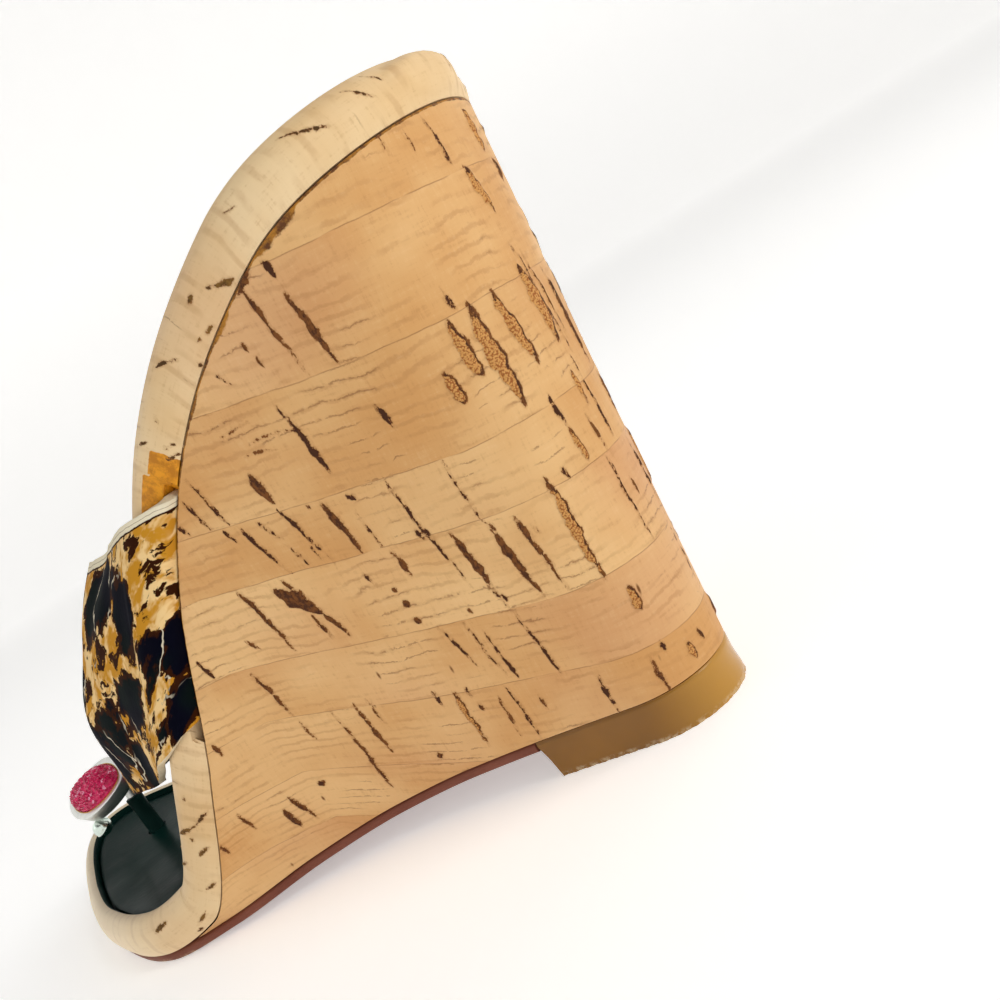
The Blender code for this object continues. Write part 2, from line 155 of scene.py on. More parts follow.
@dataclass(frozen=True)
class Last:
    """The form that sole, wedge, footbed and upper share."""

    shift: tuple[float, float]
    gap: float = 0.3
    length: float = 211.0
    heel_round: float = 26.0
    toe_start: float = 135.0
    toe_power: float = 1.7
    rake: float = 8.1
    lift_round: float = 15.0
    wedge_front: float = 126.0
    outsole: float = 2.0
    bed_heel: float = 10.0
    bed_toe: float = 8.6

    def place(self, points: Array) -> Array:
        """Points of the last's own frame, in millimetres, as metres in the shoe's frame."""
        moved = np.array(points, float)
        moved[..., 0] += self.shift[0]
        moved[..., 1] += self.shift[1]
        return moved * MM

    def through(self, column: str, back: Array) -> Array:
        """A smooth curve through one column of the sections that never swings past a row.

        Args:
            column: the name of a field of Station.
            back: distances from the heel.

        Returns:
            The column's value at each distance.
        """
        x = np.array([row.back for row in STATIONS])
        y = np.array([getattr(row, column) for row in STATIONS])
        slopes = np.diff(y) / np.diff(x)
        before, after = slopes[:-1], slopes[1:]
        same = before * after > 0
        inner = np.where(same, 2 * before * after / np.where(same, before + after, 1.0), 0.0)
        tangents = np.concatenate([slopes[:1], inner, slopes[-1:]])
        back = np.clip(np.asarray(back, float), x[0], x[-1])
        i = np.clip(np.searchsorted(x, back, side="right") - 1, 0, len(slopes) - 1)
        step = x[i + 1] - x[i]
        t = (back - x[i]) / step
        start = (1 + 2 * t) * (1 - t) ** 2 * y[i] + t * t * (3 - 2 * t) * y[i + 1]
        return start + step * (t * (1 - t) ** 2 * tangents[i] - t * t * (1 - t) * tangents[i + 1])

    def thickness(self, back: Array) -> Array:
        """The footbed's thickness."""
        share = np.clip((back / self.length - 0.5) / 0.4, 0.0, 1.0)
        return self.bed_heel + (self.bed_toe - self.bed_heel) * share

    def over_seam(self, x: Array, back: Array, height: Array) -> Array:
        """Points this high above the seam surface, measured square to it."""
        step = 0.5
        rise = (self.through("seam", back - step) - self.through("seam", back + step)) / (2 * step)
        size = np.hypot(rise, 1.0)
        level = self.through("seam", back)
        return np.stack([x, -back - rise / size * height, level + height / size], axis=-1)

    def rounding(self, back: Array, start: float, heel_round: float, end: float) -> Array:
        """How much of its full width an outline has this far along: round at the heel and at the toe."""
        heel = np.clip((start + heel_round - back) / heel_round, 0.0, 1.0)
        toe = np.clip((back - self.toe_start) / (end - self.toe_start), 0.0, 1.0)
        return np.sqrt(1 - heel**2) * np.sqrt(1 - toe**self.toe_power)

    def backs(self, walk: Array, start: float, heel_round: float, end: float) -> Array:
        """Distances from the heel at a walk's steps: to 1 round the heel, to 2 along, to 3 round the toe."""
        round_heel = start + heel_round * (1 - np.cos(np.clip(walk, 0, 1) * math.pi / 2))
        straight = (self.toe_start - start - heel_round) * np.clip(walk - 1, 0, 1)
        return round_heel + straight + (end - self.toe_start) * np.sin(
            np.clip(walk - 2, 0, 1) * math.pi / 2
        )

    def top_outline(self, walk: Array, side: Array, inset: Array) -> tuple[Array, Array]:
        """Where the seam's outline, or one inside it, has got to.

        Args:
            walk: the step of the walk from the heel, 0 to 3.
            side: +1 on the outer side and -1 on the inner side.
            inset: how far inside the outline, or outside where it is negative.

        Returns:
            The x and the back of each point.
        """
        back = self.backs(walk, inset, self.heel_round, self.length - inset)
        share = self.rounding(back, inset, self.heel_round, self.length - inset)
        half = (self.through("top_half", back) - inset) * share
        return self.through("top_middle", back) + side * half, back

    def base_outline(self, back: Array, side: Array, inset: float = 0.0) -> Array:
        """The x of the underside's outline at these distances from the heel."""
        share = self.rounding(back, self.rake, self.lift_round, self.length - 0.5)
        return self.through("base_middle", back) + side * (self.through("base_half", back) - inset) * share


class Recipe:
    """A material's nodes, added one at a time."""

    def __init__(self, name: str) -> None:
        """Starts a material of this name with one shader."""
        self.material = bpy.data.materials.new(name)
        self.material.use_nodes = True
        self.tree = self.material.node_tree
        self.shader = self.tree.nodes["Principled BSDF"]

    def add(self, kind: str, inputs: dict[Any, Any] | None = None, out: Any = 0, **settings: Any) -> Any:
        """Adds a node with its settings and what feeds its sockets.

        Args:
            kind: the node's type, without "ShaderNode".
            inputs: for a socket's name or number, another node's output or a value.
            out: the name or number of the output to return.
            **settings: the node's own properties.

        Returns:
            The output socket asked for.
        """
        node = self.tree.nodes.new("ShaderNode" + kind)
        for name, value in settings.items():
            setattr(node, name, value)
        for socket, source in (inputs or {}).items():
            if isinstance(source, bpy.types.NodeSocket):
                self.tree.links.new(source, node.inputs[socket])
            else:
                node.inputs[socket].default_value = source
        return node.outputs[out]

    def give(self, **inputs: Any) -> bpy.types.Material:
        """Sets or links the shader's sockets, whose names have underscores for spaces.

        Returns:
            The finished material.
        """
        for name, source in inputs.items():
            socket = self.shader.inputs[name.replace("_", " ")]
            if isinstance(source, bpy.types.NodeSocket):
                self.tree.links.new(source, socket)
            else:
                socket.default_value = source
        return self.material


class Bench:
    """The steps that every piece goes through."""

    @staticmethod
    def grid(name: str, points: Array, chart: Array | None = None, **marks: Array) -> bpy.types.Object:
        """Lays a flat grid over a surface.

        Args:
            name: the piece's name.
            points: places in metres, by row and column.
            chart: flat places in metres for the UV map "sheet".
            **marks: one number per point, kept as attributes for the material.

        Returns:
            The new object, with its place in its mesh.
        """
        rows, columns = points.shape[0] - 1, points.shape[1] - 1
        bpy.ops.object.select_all(action="DESELECT")
        bpy.ops.mesh.primitive_grid_add(x_subdivisions=columns, y_subdivisions=rows, size=1.0)
        obj = bpy.context.active_object
        obj.name = obj.data.name = name
        mesh = obj.data
        flat = np.empty(len(mesh.vertices) * 3, np.float32)
        mesh.vertices.foreach_get("co", flat)
        flat = flat.reshape(-1, 3)
        r = np.rint((flat[:, 1] + 0.5) * rows).astype(int)
        c = np.rint((flat[:, 0] + 0.5) * columns).astype(int)
        mesh.vertices.foreach_set("co", points[r, c].astype(np.float32).ravel())
        corners = np.empty(len(mesh.loops), np.int32)
        mesh.loops.foreach_get("vertex_index", corners)
        layer = mesh.uv_layers[0] if mesh.uv_layers else mesh.uv_layers.new()
        layer.name = "sheet"
        if chart is not None:
            layer.uv.foreach_set("vector", chart[r, c][corners].astype(np.float32).ravel())
        for mark, values in marks.items():
            attribute = mesh.attributes.new(mark, "FLOAT", "POINT")
            attribute.data.foreach_set("value", values[r, c].astype(np.float32))
        mesh.update()
        return obj

    @staticmethod
    def only(obj: bpy.types.Object) -> None:
        """Selects this object alone."""
        bpy.ops.object.select_all(action="DESELECT")
        bpy.context.view_layer.objects.active = obj
        obj.select_set(True)

    @staticmethod
    def edit(obj: bpy.types.Object) -> None:
        """Opens one object for editing with nothing selected."""
        Bench.only(obj)
        bpy.ops.object.mode_set(mode="EDIT")
        bpy.ops.mesh.select_all(action="DESELECT")

    @staticmethod
    def pick(obj: bpy.types.Object, wanted: Callable[[Any], bool], kind: str = "edges") -> int:
        """Selects the edges or faces, of an object open for editing, that pass a test.

        Args:
            obj: the object.
            wanted: the test.
            kind: "edges" or "faces".

        Returns:
            How many were selected.
        """
        bpy.ops.mesh.select_all(action="DESELECT")
        bm = bmesh.from_edit_mesh(obj.data)
        found = [item for item in getattr(bm, kind) if wanted(item)]
        for item in found:
            item.select_set(True)
        bmesh.update_edit_mesh(obj.data)
        return len(found)

    @staticmethod
    def outwards() -> None:
        """Turns every face of the piece open for editing outwards."""
        bpy.ops.mesh.select_all(action="SELECT")
        bpy.ops.mesh.normals_make_consistent(inside=False)

    @staticmethod
    def close(obj: bpy.types.Object, chains: Sequence[Callable[[Any], bool]] = ()) -> None:
        """Merges a grid's meeting edges, bridges chains, fills what is still open and faces it outwards.

        Args:
            obj: the grid.
            chains: a test for each pair of open chains to bridge.
        """
        Bench.edit(obj)
        bpy.ops.mesh.select_all(action="SELECT")
        bpy.ops.mesh.remove_doubles(threshold=1e-6)
        bpy.ops.mesh.select_all(action="SELECT")
        bpy.ops.mesh.dissolve_degenerate(threshold=1e-7)
        for wanted in chains:
            Bench.pick(obj, wanted)
            bpy.ops.mesh.bridge_edge_loops()
        if Bench.pick(obj, lambda e: e.is_boundary):
            bpy.ops.mesh.fill(use_beauty=False)
        Bench.outwards()
        bpy.ops.object.mode_set(mode="OBJECT")

    @staticmethod
    def shell(
        name: str,
        outer: Array,
        inner: Array,
        chart: Array | None = None,
        **marks: Array,
    ) -> bpy.types.Object:
        """A closed body between an outer and an inner side.

        Args:
            name: the piece's name.
            outer: places in metres by level, lowest first, and by step from heel to toe.
            inner: the same on the inner side.
            chart: flat places of the outer side; the inner side's lie mirrored.
            **marks: one number per point of both sides, outer ones first.

        Returns:
            The new object.
        """
        rows = np.concatenate([outer, inner[::-1], outer[:1]])
        flat = None
        if chart is not None:
            mirrored = chart * np.array([-1.0, 1.0])
            flat = np.concatenate([chart, mirrored[::-1], chart[:1]])
        levels = len(outer)
        spread = {k: np.concatenate([v[:levels], v[levels:][::-1], v[:1]]) for k, v in marks.items()}
        obj = Bench.grid(name, rows, flat, **spread)
        Bench.close(obj)
        return obj

    @staticmethod
    def apply(obj: bpy.types.Object, kind: str, **settings: Any) -> None:
        """Adds a modifier with these settings and applies it."""
        Bench.only(obj)
        modifier = obj.modifiers.new(kind.lower(), kind)
        for name, value in settings.items():
            setattr(modifier, name, value)
        bpy.ops.object.modifier_apply(modifier=modifier.name)

    @staticmethod
    def soften(obj: bpy.types.Object, width: float, segments: int, sharp: float = 50.0) -> None:
        """Rounds every edge sharper than an angle in degrees, by a width in millimetres."""
        angle = math.radians(sharp)
        Bench.apply(
            obj, "BEVEL", width=width * MM, segments=segments, limit_method="ANGLE", angle_limit=angle
        )

    @staticmethod
    def combine(obj: bpy.types.Object, other: bpy.types.Object, operation: str) -> None:
        """Unites a second solid with this one, or cuts it away, and removes it."""
        Bench.apply(obj, "BOOLEAN", operation=operation, solver="EXACT", object=other)
        bpy.data.objects.remove(other)

    @staticmethod
    def finish(
        obj: bpy.types.Object,
        materials: Sequence[bpy.types.Material],
        slot: str,
        nodes: Sequence[str],
        sharp: float = 45.0,
    ) -> bpy.types.Object:
        """Shades, dresses and mounts a finished piece.

        Args:
            obj: the piece.
            materials: its materials, in the order of its faces' indices.
            slot: not used.
            nodes: the CAD nodes that it stands for.
            sharp: the angle in degrees above which an edge stays sharp.

        Returns:
            The piece.
        """
        Bench.only(obj)
        bpy.ops.object.shade_smooth_by_angle(angle=math.radians(sharp))
        indices = [0] * len(obj.data.polygons)
        obj.data.polygons.foreach_get("material_index", indices)
        obj.data.materials.clear()
        for material in materials:
            obj.data.materials.append(material)
        obj.data.polygons.foreach_set("material_index", indices)
        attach(obj, "root")
        if nodes:
            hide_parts(*nodes)
        LOG.info("%s: %d faces", obj.name, len(obj.data.polygons))
        return obj


class Lens(Enum):
    """How a lenticel, the streak that cork is marked with, is filled."""

    CRACK = 0.0
    BROWN = 0.5
    OPEN = 1.0


class Streak(NamedTuple):
    """One lenticel: its two ends as distance round and depth below the seam at the back, and its width."""

    round_top: float
    depth_top: float
    round_low: float
    depth_low: float
    width: float
    lens: Lens = Lens.CRACK
    widest: float = 0.5


CRACK, BROWN, OPEN = Lens.CRACK, Lens.BROWN, Lens.OPEN

# The outer side and the back, row by row from the top. Distances round start at the middle of the heel.
OUTER_STREAKS = (
    Streak(8.8, 1.0, 7.4, 9.8, 1.0, CRACK, 0.8),
    Streak(14.0, 1.5, 13.3, 6.0, 0.6, BROWN),
    Streak(18.6, 1.5, 18.0, 5.0, 0.5, BROWN),
    Streak(4.8, 10.4, 2.6, 19.4, 2.4, OPEN, 0.35),
    Streak(3.2, 24.0, 3.0, 27.0, 0.6, CRACK),
    Streak(20.2, 24.8, 19.8, 29.5, 1.0, CRACK, 0.9),
    Streak(43.0, 10.2, 42.6, 13.6, 1.8, CRACK),
    Streak(42.3, 14.6, 40.4, 29.6, 1.5, BROWN, 0.55),
    Streak(48.5, 12.6, 46.0, 29.5, 1.0, BROWN, 0.2),
    Streak(53.4, 20.6, 53.0, 22.4, 0.8, BROWN),
    Streak(52.2, 23.5, 51.8, 25.5, 0.8, BROWN),
    Streak(60.5, 24.0, 58.8, 26.4, 0.8, CRACK),
    Streak(35.0, 3.6, 40.5, 7.6, 1.6, BROWN),
    Streak(45.5, 11.0, 49.5, 14.0, 1.3, BROWN),
    Streak(4.0, 27.6, 2.9, 42.5, 3.4, OPEN, 0.45),
    Streak(2.2, 26.6, 0.9, 45.0, 0.8, CRACK),
    Streak(0.8, 26.0, -0.6, 43.0, 0.8, BROWN),
    Streak(12.5, 29.0, 10.3, 43.4, 2.6, OPEN, 0.55),
    Streak(21.8, 29.7, 20.6, 40.6, 2.8, OPEN, 0.7),
    Streak(17.7, 29.0, 16.2, 48.4, 3.4, OPEN, 0.5),
    Streak(26.0, 36.7, 24.8, 43.0, 2.5, OPEN, 0.7),
    Streak(38.2, 37.2, 37.2, 42.2, 1.5, CRACK),
    Streak(53.8, 32.0, 51.5, 46.2, 1.6, CRACK, 0.7),
    Streak(51.0, 37.4, 56.0, 36.0, 0.5, CRACK),
    Streak(56.0, 36.2, 62.0, 36.6, 0.4, BROWN),
    Streak(60.0, 33.0, 66.0, 33.6, 0.4, BROWN),
    Streak(58.0, 38.9, 64.0, 38.3, 0.4, BROWN),
    Streak(11.4, 48.2, 10.8, 55.0, 1.2, CRACK),
    Streak(4.2, 46.8, 3.8, 54.0, 1.4, OPEN, 0.3),
    Streak(1.9, 45.0, 1.5, 61.0, 0.8, CRACK, 0.8),
    Streak(5.6, 54.5, 5.0, 62.0, 0.8, BROWN),
    Streak(75.9, 38.0, 73.4, 48.9, 1.0, CRACK, 0.7),
    Streak(78.7, 41.0, 77.2, 48.4, 0.9, CRACK),
    Streak(82.0, 45.4, 80.9, 48.0, 0.8, CRACK),
    Streak(65.2, 41.2, 63.8, 48.0, 2.2, BROWN, 0.45),
    Streak(75.1, 49.2, 74.1, 52.8, 1.0, CRACK, 0.3),
    Streak(72.7, 49.4, 68.5, 61.4, 1.1, CRACK, 0.3),
    Streak(68.8, 50.0, 66.3, 54.5, 0.8, CRACK, 0.3),
    Streak(66.4, 55.4, 64.5, 61.4, 0.6, CRACK, 0.8),
    Streak(64.2, 49.0, 60.0, 61.8, 1.2, CRACK, 0.2),
    Streak(62.9, 56.4, 61.9, 61.6, 0.6, CRACK),
    Streak(56.4, 50.2, 54.1, 62.0, 1.7, BROWN, 0.3),
    Streak(58.8, 49.8, 58.4, 50.8, 0.9, CRACK),
    Streak(51.4, 50.4, 50.0, 52.0, 1.5, CRACK, 0.4),
    Streak(51.8, 53.4, 50.2, 61.9, 0.7, CRACK, 0.85),
    Streak(49.6, 62.6, 48.3, 69.0, 1.2, BROWN, 0.6),
    Streak(43.9, 49.6, 39.2, 74.0, 1.0, CRACK, 0.5),
    Streak(43.4, 60.4, 42.4, 62.8, 1.2, CRACK, 0.3),
    Streak(33.0, 50.0, 31.3, 62.6, 0.7, CRACK, 0.8),
    Streak(30.8, 62.8, 28.0, 80.0, 1.7, BROWN, 0.4),
    Streak(26.1, 63.4, 23.4, 79.8, 1.1, BROWN, 0.15),
    Streak(24.2, 66.5, 23.6, 68.2, 0.7, CRACK),
    Streak(38.0, 62.2, 35.2, 75.4, 1.8, BROWN, 0.6),
    Streak(36.8, 70.0, 34.8, 80.0, 0.8, CRACK),
    Streak(18.7, 59.4, 16.8, 80.8, 2.1, OPEN, 0.45),
    Streak(10.7, 55.0, 10.1, 61.6, 1.4, OPEN, 0.5),
    Streak(15.4, 59.5, 14.8, 62.2, 1.2, CRACK, 0.3),
    Streak(6.0, 62.2, 5.0, 79.6, 0.9, CRACK, 0.25),
    Streak(3.0, 68.0, 2.6, 72.0, 0.6, BROWN),
    Streak(79.6, 60.6, 76.4, 76.6, 1.2, BROWN, 0.3),
    Streak(73.3, 62.8, 67.9, 70.8, 4.0, BROWN, 0.45),
    Streak(71.5, 61.4, 68.6, 67.0, 0.9, BROWN),
    Streak(70.0, 69.8, 68.6, 76.6, 0.9, BROWN),
    Streak(67.9, 69.6, 65.6, 77.2, 1.3, BROWN),
    Streak(56.8, 65.0, 55.7, 69.2, 0.5, CRACK),
    Streak(53.2, 69.9, 52.6, 71.0, 1.3, BROWN),
    Streak(52.7, 72.8, 51.9, 74.6, 1.4, BROWN),
    Streak(52.4, 77.0, 51.6, 78.6, 1.6, BROWN),
    Streak(42.2, 77.8, 41.4, 78.9, 1.1, BROWN),
    Streak(35.2, 76.4, 34.2, 78.4, 1.0, CRACK),
    Streak(84.0, 70.4, 82.4, 73.2, 0.8, BROWN),
    Streak(93.7, 70.2, 93.0, 75.0, 1.3, CRACK, 0.4),
    Streak(86.6, 77.2, 84.8, 89.6, 1.0, BROWN, 0.3),
    Streak(84.6, 90.6, 83.6, 96.0, 0.6, BROWN),
    Streak(49.3, 80.0, 46.2, 90.2, 0.9, CRACK, 0.4),
    Streak(44.5, 80.0, 41.9, 93.6, 0.8, CRACK, 0.5),
    Streak(42.0, 82.8, 39.8, 94.6, 1.0, CRACK, 0.85),
    Streak(34.3, 80.2, 32.0, 95.6, 1.0, CRACK, 0.85),
    Streak(14.0, 83.4, 13.2, 88.8, 2.2, OPEN, 0.5),
    Streak(73.0, 91.0, 72.0, 104.8, 1.0, BROWN, 0.6),
    Streak(77.7, 91.0, 76.2, 113.0, 0.9, BROWN, 0.8),
    Streak(70.5, 91.0, 69.4, 97.4, 0.5, BROWN),
    Streak(57.4, 93.2, 56.9, 96.8, 1.2, CRACK, 0.4),
    Streak(53.4, 94.0, 53.0, 109.0, 1.5, OPEN, 0.3),
    Streak(51.0, 94.0, 50.4, 97.0, 1.1, CRACK, 0.3),
    Streak(50.2, 98.0, 49.8, 100.4, 0.9, BROWN),
    Streak(46.0, 97.4, 45.6, 107.8, 0.7, BROWN),
    Streak(43.1, 95.4, 42.4, 110.0, 0.9, CRACK, 0.6),
    Streak(38.5, 98.8, 38.2, 103.0, 0.6, BROWN),
    Streak(25.6, 97.0, 25.4, 107.4, 1.2, CRACK, 0.3),
    Streak(15.8, 97.4, 15.0, 105.4, 1.0, BROWN, 0.4),
    Streak(12.7, 95.4, 12.4, 98.2, 1.1, CRACK),
    Streak(8.4, 98.4, 7.6, 102.2, 1.7, OPEN, 0.5),
    Streak(5.4, 97.8, 4.8, 100.4, 1.2, BROWN),
    Streak(105.0, 103.0, 104.4, 108.4, 0.9, BROWN),
    Streak(97.5, 107.4, 96.8, 113.6, 1.7, BROWN, 0.4),
    Streak(95.3, 105.0, 93.2, 113.2, 1.2, BROWN, 0.3),
    Streak(88.6, 105.0, 88.2, 106.6, 1.6, BROWN),
    Streak(63.9, 107.4, 63.5, 109.0, 1.5, BROWN),
    Streak(100.6, 86.4, 100.2, 90.0, 0.9, BROWN),
    Streak(112.0, 106.0, 111.0, 110.0, 0.8, BROWN),
)

# The inner half of the back, which is seen from behind.
BACK_STREAKS = (
    Streak(-4.5, 1.6, -5.2, 9.8, 2.6, OPEN, 0.5),
    Streak(-12.0, 2.0, -12.6, 9.6, 0.9, CRACK),
    Streak(-18.8, 4.0, -19.0, 9.0, 0.8, CRACK),
    Streak(-7.4, 10.6, -7.8, 15.4, 1.6, BROWN),
    Streak(-14.6, 11.0, -14.0, 29.2, 1.2, CRACK, 0.7),
    Streak(-21.5, 11.2, -20.2, 29.0, 1.8, BROWN, 0.5),
    Streak(-27.5, 12.0, -25.6, 29.4, 1.4, CRACK, 0.6),
    Streak(-3.8, 30.0, -4.4, 49.4, 1.9, BROWN, 0.5),
    Streak(-13.0, 30.2, -12.4, 40.0, 0.9, CRACK),
    Streak(-16.4, 30.0, -14.6, 48.6, 2.6, OPEN, 0.35),
    Streak(-25.0, 31.0, -23.0, 44.0, 1.0, CRACK),
    Streak(-6.0, 50.2, -6.0, 61.0, 1.4, BROWN, 0.4),
    Streak(-10.6, 50.0, -9.4, 59.0, 0.7, CRACK),
    Streak(-15.5, 50.4, -14.0, 61.6, 1.0, CRACK, 0.3),
    Streak(-21.0, 52.0, -19.0, 61.4, 2.0, OPEN, 0.5),
    Streak(-4.0, 63.0, -3.8, 79.0, 1.0, CRACK, 0.3),
    Streak(-9.4, 62.6, -8.6, 74.0, 2.2, OPEN, 0.6),
    Streak(-17.0, 63.0, -15.8, 79.4, 1.3, BROWN, 0.4),
    Streak(-2.6, 81.0, -2.6, 92.0, 0.7, CRACK),
    Streak(-10.0, 80.6, -9.6, 90.4, 1.1, BROWN),
    Streak(-15.6, 83.0, -15.0, 94.6, 0.8, CRACK),
    Streak(-5.4, 96.4, -5.4, 101.0, 1.8, BROWN),
    Streak(-11.6, 96.0, -11.2, 104.0, 0.9, CRACK),
)


@dataclass(frozen=True)
class Cork:
    """Polished cork veneer. Cork is a dead, closed-cell bark, so it is warm tan, satin and faintly ringed,
    and its lenticels are brown clefts with crumbled orange filling."""

    name: str
    tan: str = "CE9A5E"
    pale: str = "E2B981"
    rosy: str = "C99268"
    deep: str = "BE8648"
    ring: str = "A4703C"
    light: str = "F4D9AC"
    # The cream of the painted light towards the front.
    cream: str = "F9EACD"
    line: str = "754722"
    cleft: str = "43230F"
    brown: str = "74451C"
    red: str = "985A2A"
    filling: str = "CE9654"
    stain_light: str = "A8701F"
    stain_dark: str = "5A3210"
    hair: float = 0.05
    jog: float = 2.2
    swell: float = 5.0
    joints: tuple[float, ...] = ()
    joint_width: float = 0.13
    joint_waver: float = 0.9
    # How far each strip's pattern lies beside the last one's, in metres.
    slide: float = 0.0371
    ring_width: float = 2.6
    ring_axis: str = "Y"
    ring_strength: float = 0.3
    stretch: tuple[float, float, float] = (0.10, 1.0, 1.0)
    # From where to where along the shoe it pales to cream towards the front: painted light.
    painted_light_span: tuple[float, float] = (0.0, 0.0)
    crumb: float = 0.33
    roughness: float = 0.5

    def rows(self, r: Recipe, around: Any, depth: Any) -> tuple[Any, Any]:
        """The strips that the veneer is joined from.

        Args:
            r: the material's nodes.
            around: the distance round, in metres.
            depth: the depth below the seam, in metres.

        Returns:
            Each point's row number and how strong a joint line is there.
        """
        at = r.add("CombineXYZ", {0: around, 1: depth})
        waver = r.add("TexNoise", {"Vector": at, "Scale": per_mm(9.0), "Detail": 3.0}, "Fac")
        strength = r.add("TexNoise", {"Vector": at, "Scale": per_mm(7.0), "Detail": 2.0}, "Fac")
        strength = r.add("MapRange", {"Value": strength, "From Min": 0.3, "From Max": 0.55}, **SOFT)
        waver = r.add("Math", {0: waver, 1: self.joint_waver * MM}, **TIMES)
        shifted = r.add("Math", {0: depth, 1: waver}, **PLUS)
        row, line = 0.0, 0.0
        for joint in self.joints:
            place = (joint + self.joint_waver / 2) * MM
            below = r.add("Math", {0: shifted, 1: place}, operation="GREATER_THAN")
            row = r.add("Math", {0: row, 1: below}, **PLUS)
            away = r.add("Math", {0: r.add("Math", {0: shifted, 1: place}, **LESS)}, operation="ABSOLUTE")
            width = {"Value": away, "From Min": self.joint_width * MM, "From Max": 0.04 * MM}
            line = r.add("Math", {0: line, 1: r.add("MapRange", width, **SOFT)}, **MOST)
        return row, r.add("Math", {0: line, 1: strength}, **TIMES)

    def ground(self, r: Recipe, base: Any, row: Any) -> Layers:
        """Clouds, rosy patches and each strip's own depth of tan, as shares and colours."""
        cloud = r.add("TexNoise", {"Vector": base, "Scale": per_mm(26.0), "Detail": 3.0}, "Fac")
        cloud = r.add("MapRange", {"Value": cloud, "From Min": 0.3, "From Max": 0.7}, **SOFT)
        rosy = r.add(
            "TexNoise", {"Vector": base, "Scale": per_mm(40.0), "Detail": 1.0, "Roughness": 0.4}, "Fac"
        )
        rosy = r.add("MapRange", {"Value": rosy, "From Min": 0.45, "From Max": 0.75, "To Max": 0.5}, **SOFT)
        tone = r.add("TexWhiteNoise", {"W": row}, "Value", noise_dimensions="1D")
        deeper = r.add("Math", {0: tone, 1: 0.18}, **TIMES)
        return [(cloud, linear(self.pale)), (rosy, linear(self.rosy)), (deeper, linear(self.deep))]

    def rings(self, r: Recipe, base: Any) -> tuple[Any, Any]:
        """Growth rings, which run along the strips a few millimetres apart, and waver.

        Args:
            r: the material's nodes.
            base: the place on the strips.

        Returns:
            How strongly a ring shows, and where one has opened into a hairline.
        """
        stretched = r.add("VectorMath", {0: base, 1: self.stretch}, **TIMES)
        swell = r.add("TexNoise", {"Vector": base, "Scale": per_mm(15.0), "Detail": 2.0}, "Fac")
        swell = r.add("Math", {0: swell, 1: self.swell * MM}, **TIMES)
        jog = r.add(
            "TexNoise", {"Vector": base, "Scale": per_mm(2.4), "Detail": 4.0, "Roughness": 0.7}, "Fac"
        )
        jog = r.add("Math", {0: jog, 1: self.jog * MM}, **TIMES)
        lift = r.add("Math", {0: swell, 1: jog}, **PLUS)
        place = r.add("VectorMath", {0: stretched, 1: r.add("CombineXYZ", {0: lift, 1: lift})}, **PLUS)
        wave = {"Vector": place, "Scale": per_mm(self.ring_width * WAVES), "Distortion": 0.6, "Detail": 2.0}
        rings = r.add("TexWave", wave, "Fac", bands_direction=self.ring_axis)
        patch = r.add("TexNoise", {"Vector": base, "Scale": per_mm(13.0), "Detail": 2.0}, "Fac")
        other = r.add("TexNoise", {"Vector": base, "Scale": per_mm(9.0), "Detail": 3.0}, "Fac")
        soft = r.add("MapRange", {"Value": rings, "From Min": 0.4, "From Max": 0.0}, **SOFT)
        seen = {"Value": other, "From Min": 0.42, "From Max": 0.62, "To Max": self.ring_strength}
        soft = r.add("Math", {0: soft, 1: r.add("MapRange", seen, **SOFT)}, **TIMES)
        hair = r.add("MapRange", {"Value": rings, "From Min": self.hair, "From Max": 0.0}, **SOFT)
        jogs = (0.42 * self.jog * MM, 0.5 * self.jog * MM)
        for value, low, high in ((patch, 0.57, 0.66), (jog, *jogs)):
            share = r.add("MapRange", {"Value": value, "From Min": low, "From Max": high}, **SOFT)
            hair = r.add("Math", {0: hair, 1: share}, **TIMES)
        return soft, hair

    def grain(self, r: Recipe, base: Any) -> tuple[Any, Any]:
        """Fine cells in lines along and across the strips, about half a millimetre apart.

        Args:
            r: the material's nodes.
            base: the place on the strips.

        Returns:
            The lines and the cells together, and the cells alone.
        """
        found = []
        for squeeze, size in (((1.0, 0.14, 1.0), 0.7), ((0.12, 1.0, 1.0), 0.8)):
            at = r.add("VectorMath", {0: base, 1: squeeze}, **TIMES)
            found.append(
                r.add(
                    "TexNoise",
                    {"Vector": at, "Scale": per_mm(size), "Detail": 4.0, "Roughness": 0.7},
                    "Fac",
                )
            )
        both = r.add("Math", {0: found[0], 1: found[1]}, **PLUS)
        return r.add("Math", {0: both, 1: 0.5}, **TIMES), found[0]

    def paint_front_light(self, r: Recipe) -> Layers:
        """Painted light: a paling towards cream along the shoe, towards the front, where this cork has it."""
        start, stop = self.painted_light_span
        if start <= stop:
            return []
        place = r.add("SeparateXYZ", {0: r.add("TexCoord", out="Object")}, "Y")
        share = {"Value": place, "From Min": start, "From Max": stop, "To Max": 0.75}
        return [(r.add("MapRange", share, **SOFT), linear(self.cream))]

    def dashes(self, r: Recipe, base: Any) -> Any:
        """Small dashes of lenticel, in one cell out of twenty."""
        at = r.add("VectorMath", {0: base, 1: (1.0, 0.28, 1.0)}, **TIMES)
        cell = {"Vector": at, "Scale": per_mm(2.3), "Randomness": 1.0}
        lucky = r.add("SeparateXYZ", {0: r.add("TexVoronoi", cell, "Color")})
        lucky = r.add("Math", {0: lucky, 1: 0.95}, operation="GREATER_THAN")
        near = r.add("TexVoronoi", cell, "Distance")
        near = r.add("MapRange", {"Value": near, "From Min": 0.17, "From Max": 0.05}, **SOFT)
        return r.add("Math", {0: near, 1: lucky}, **TIMES)

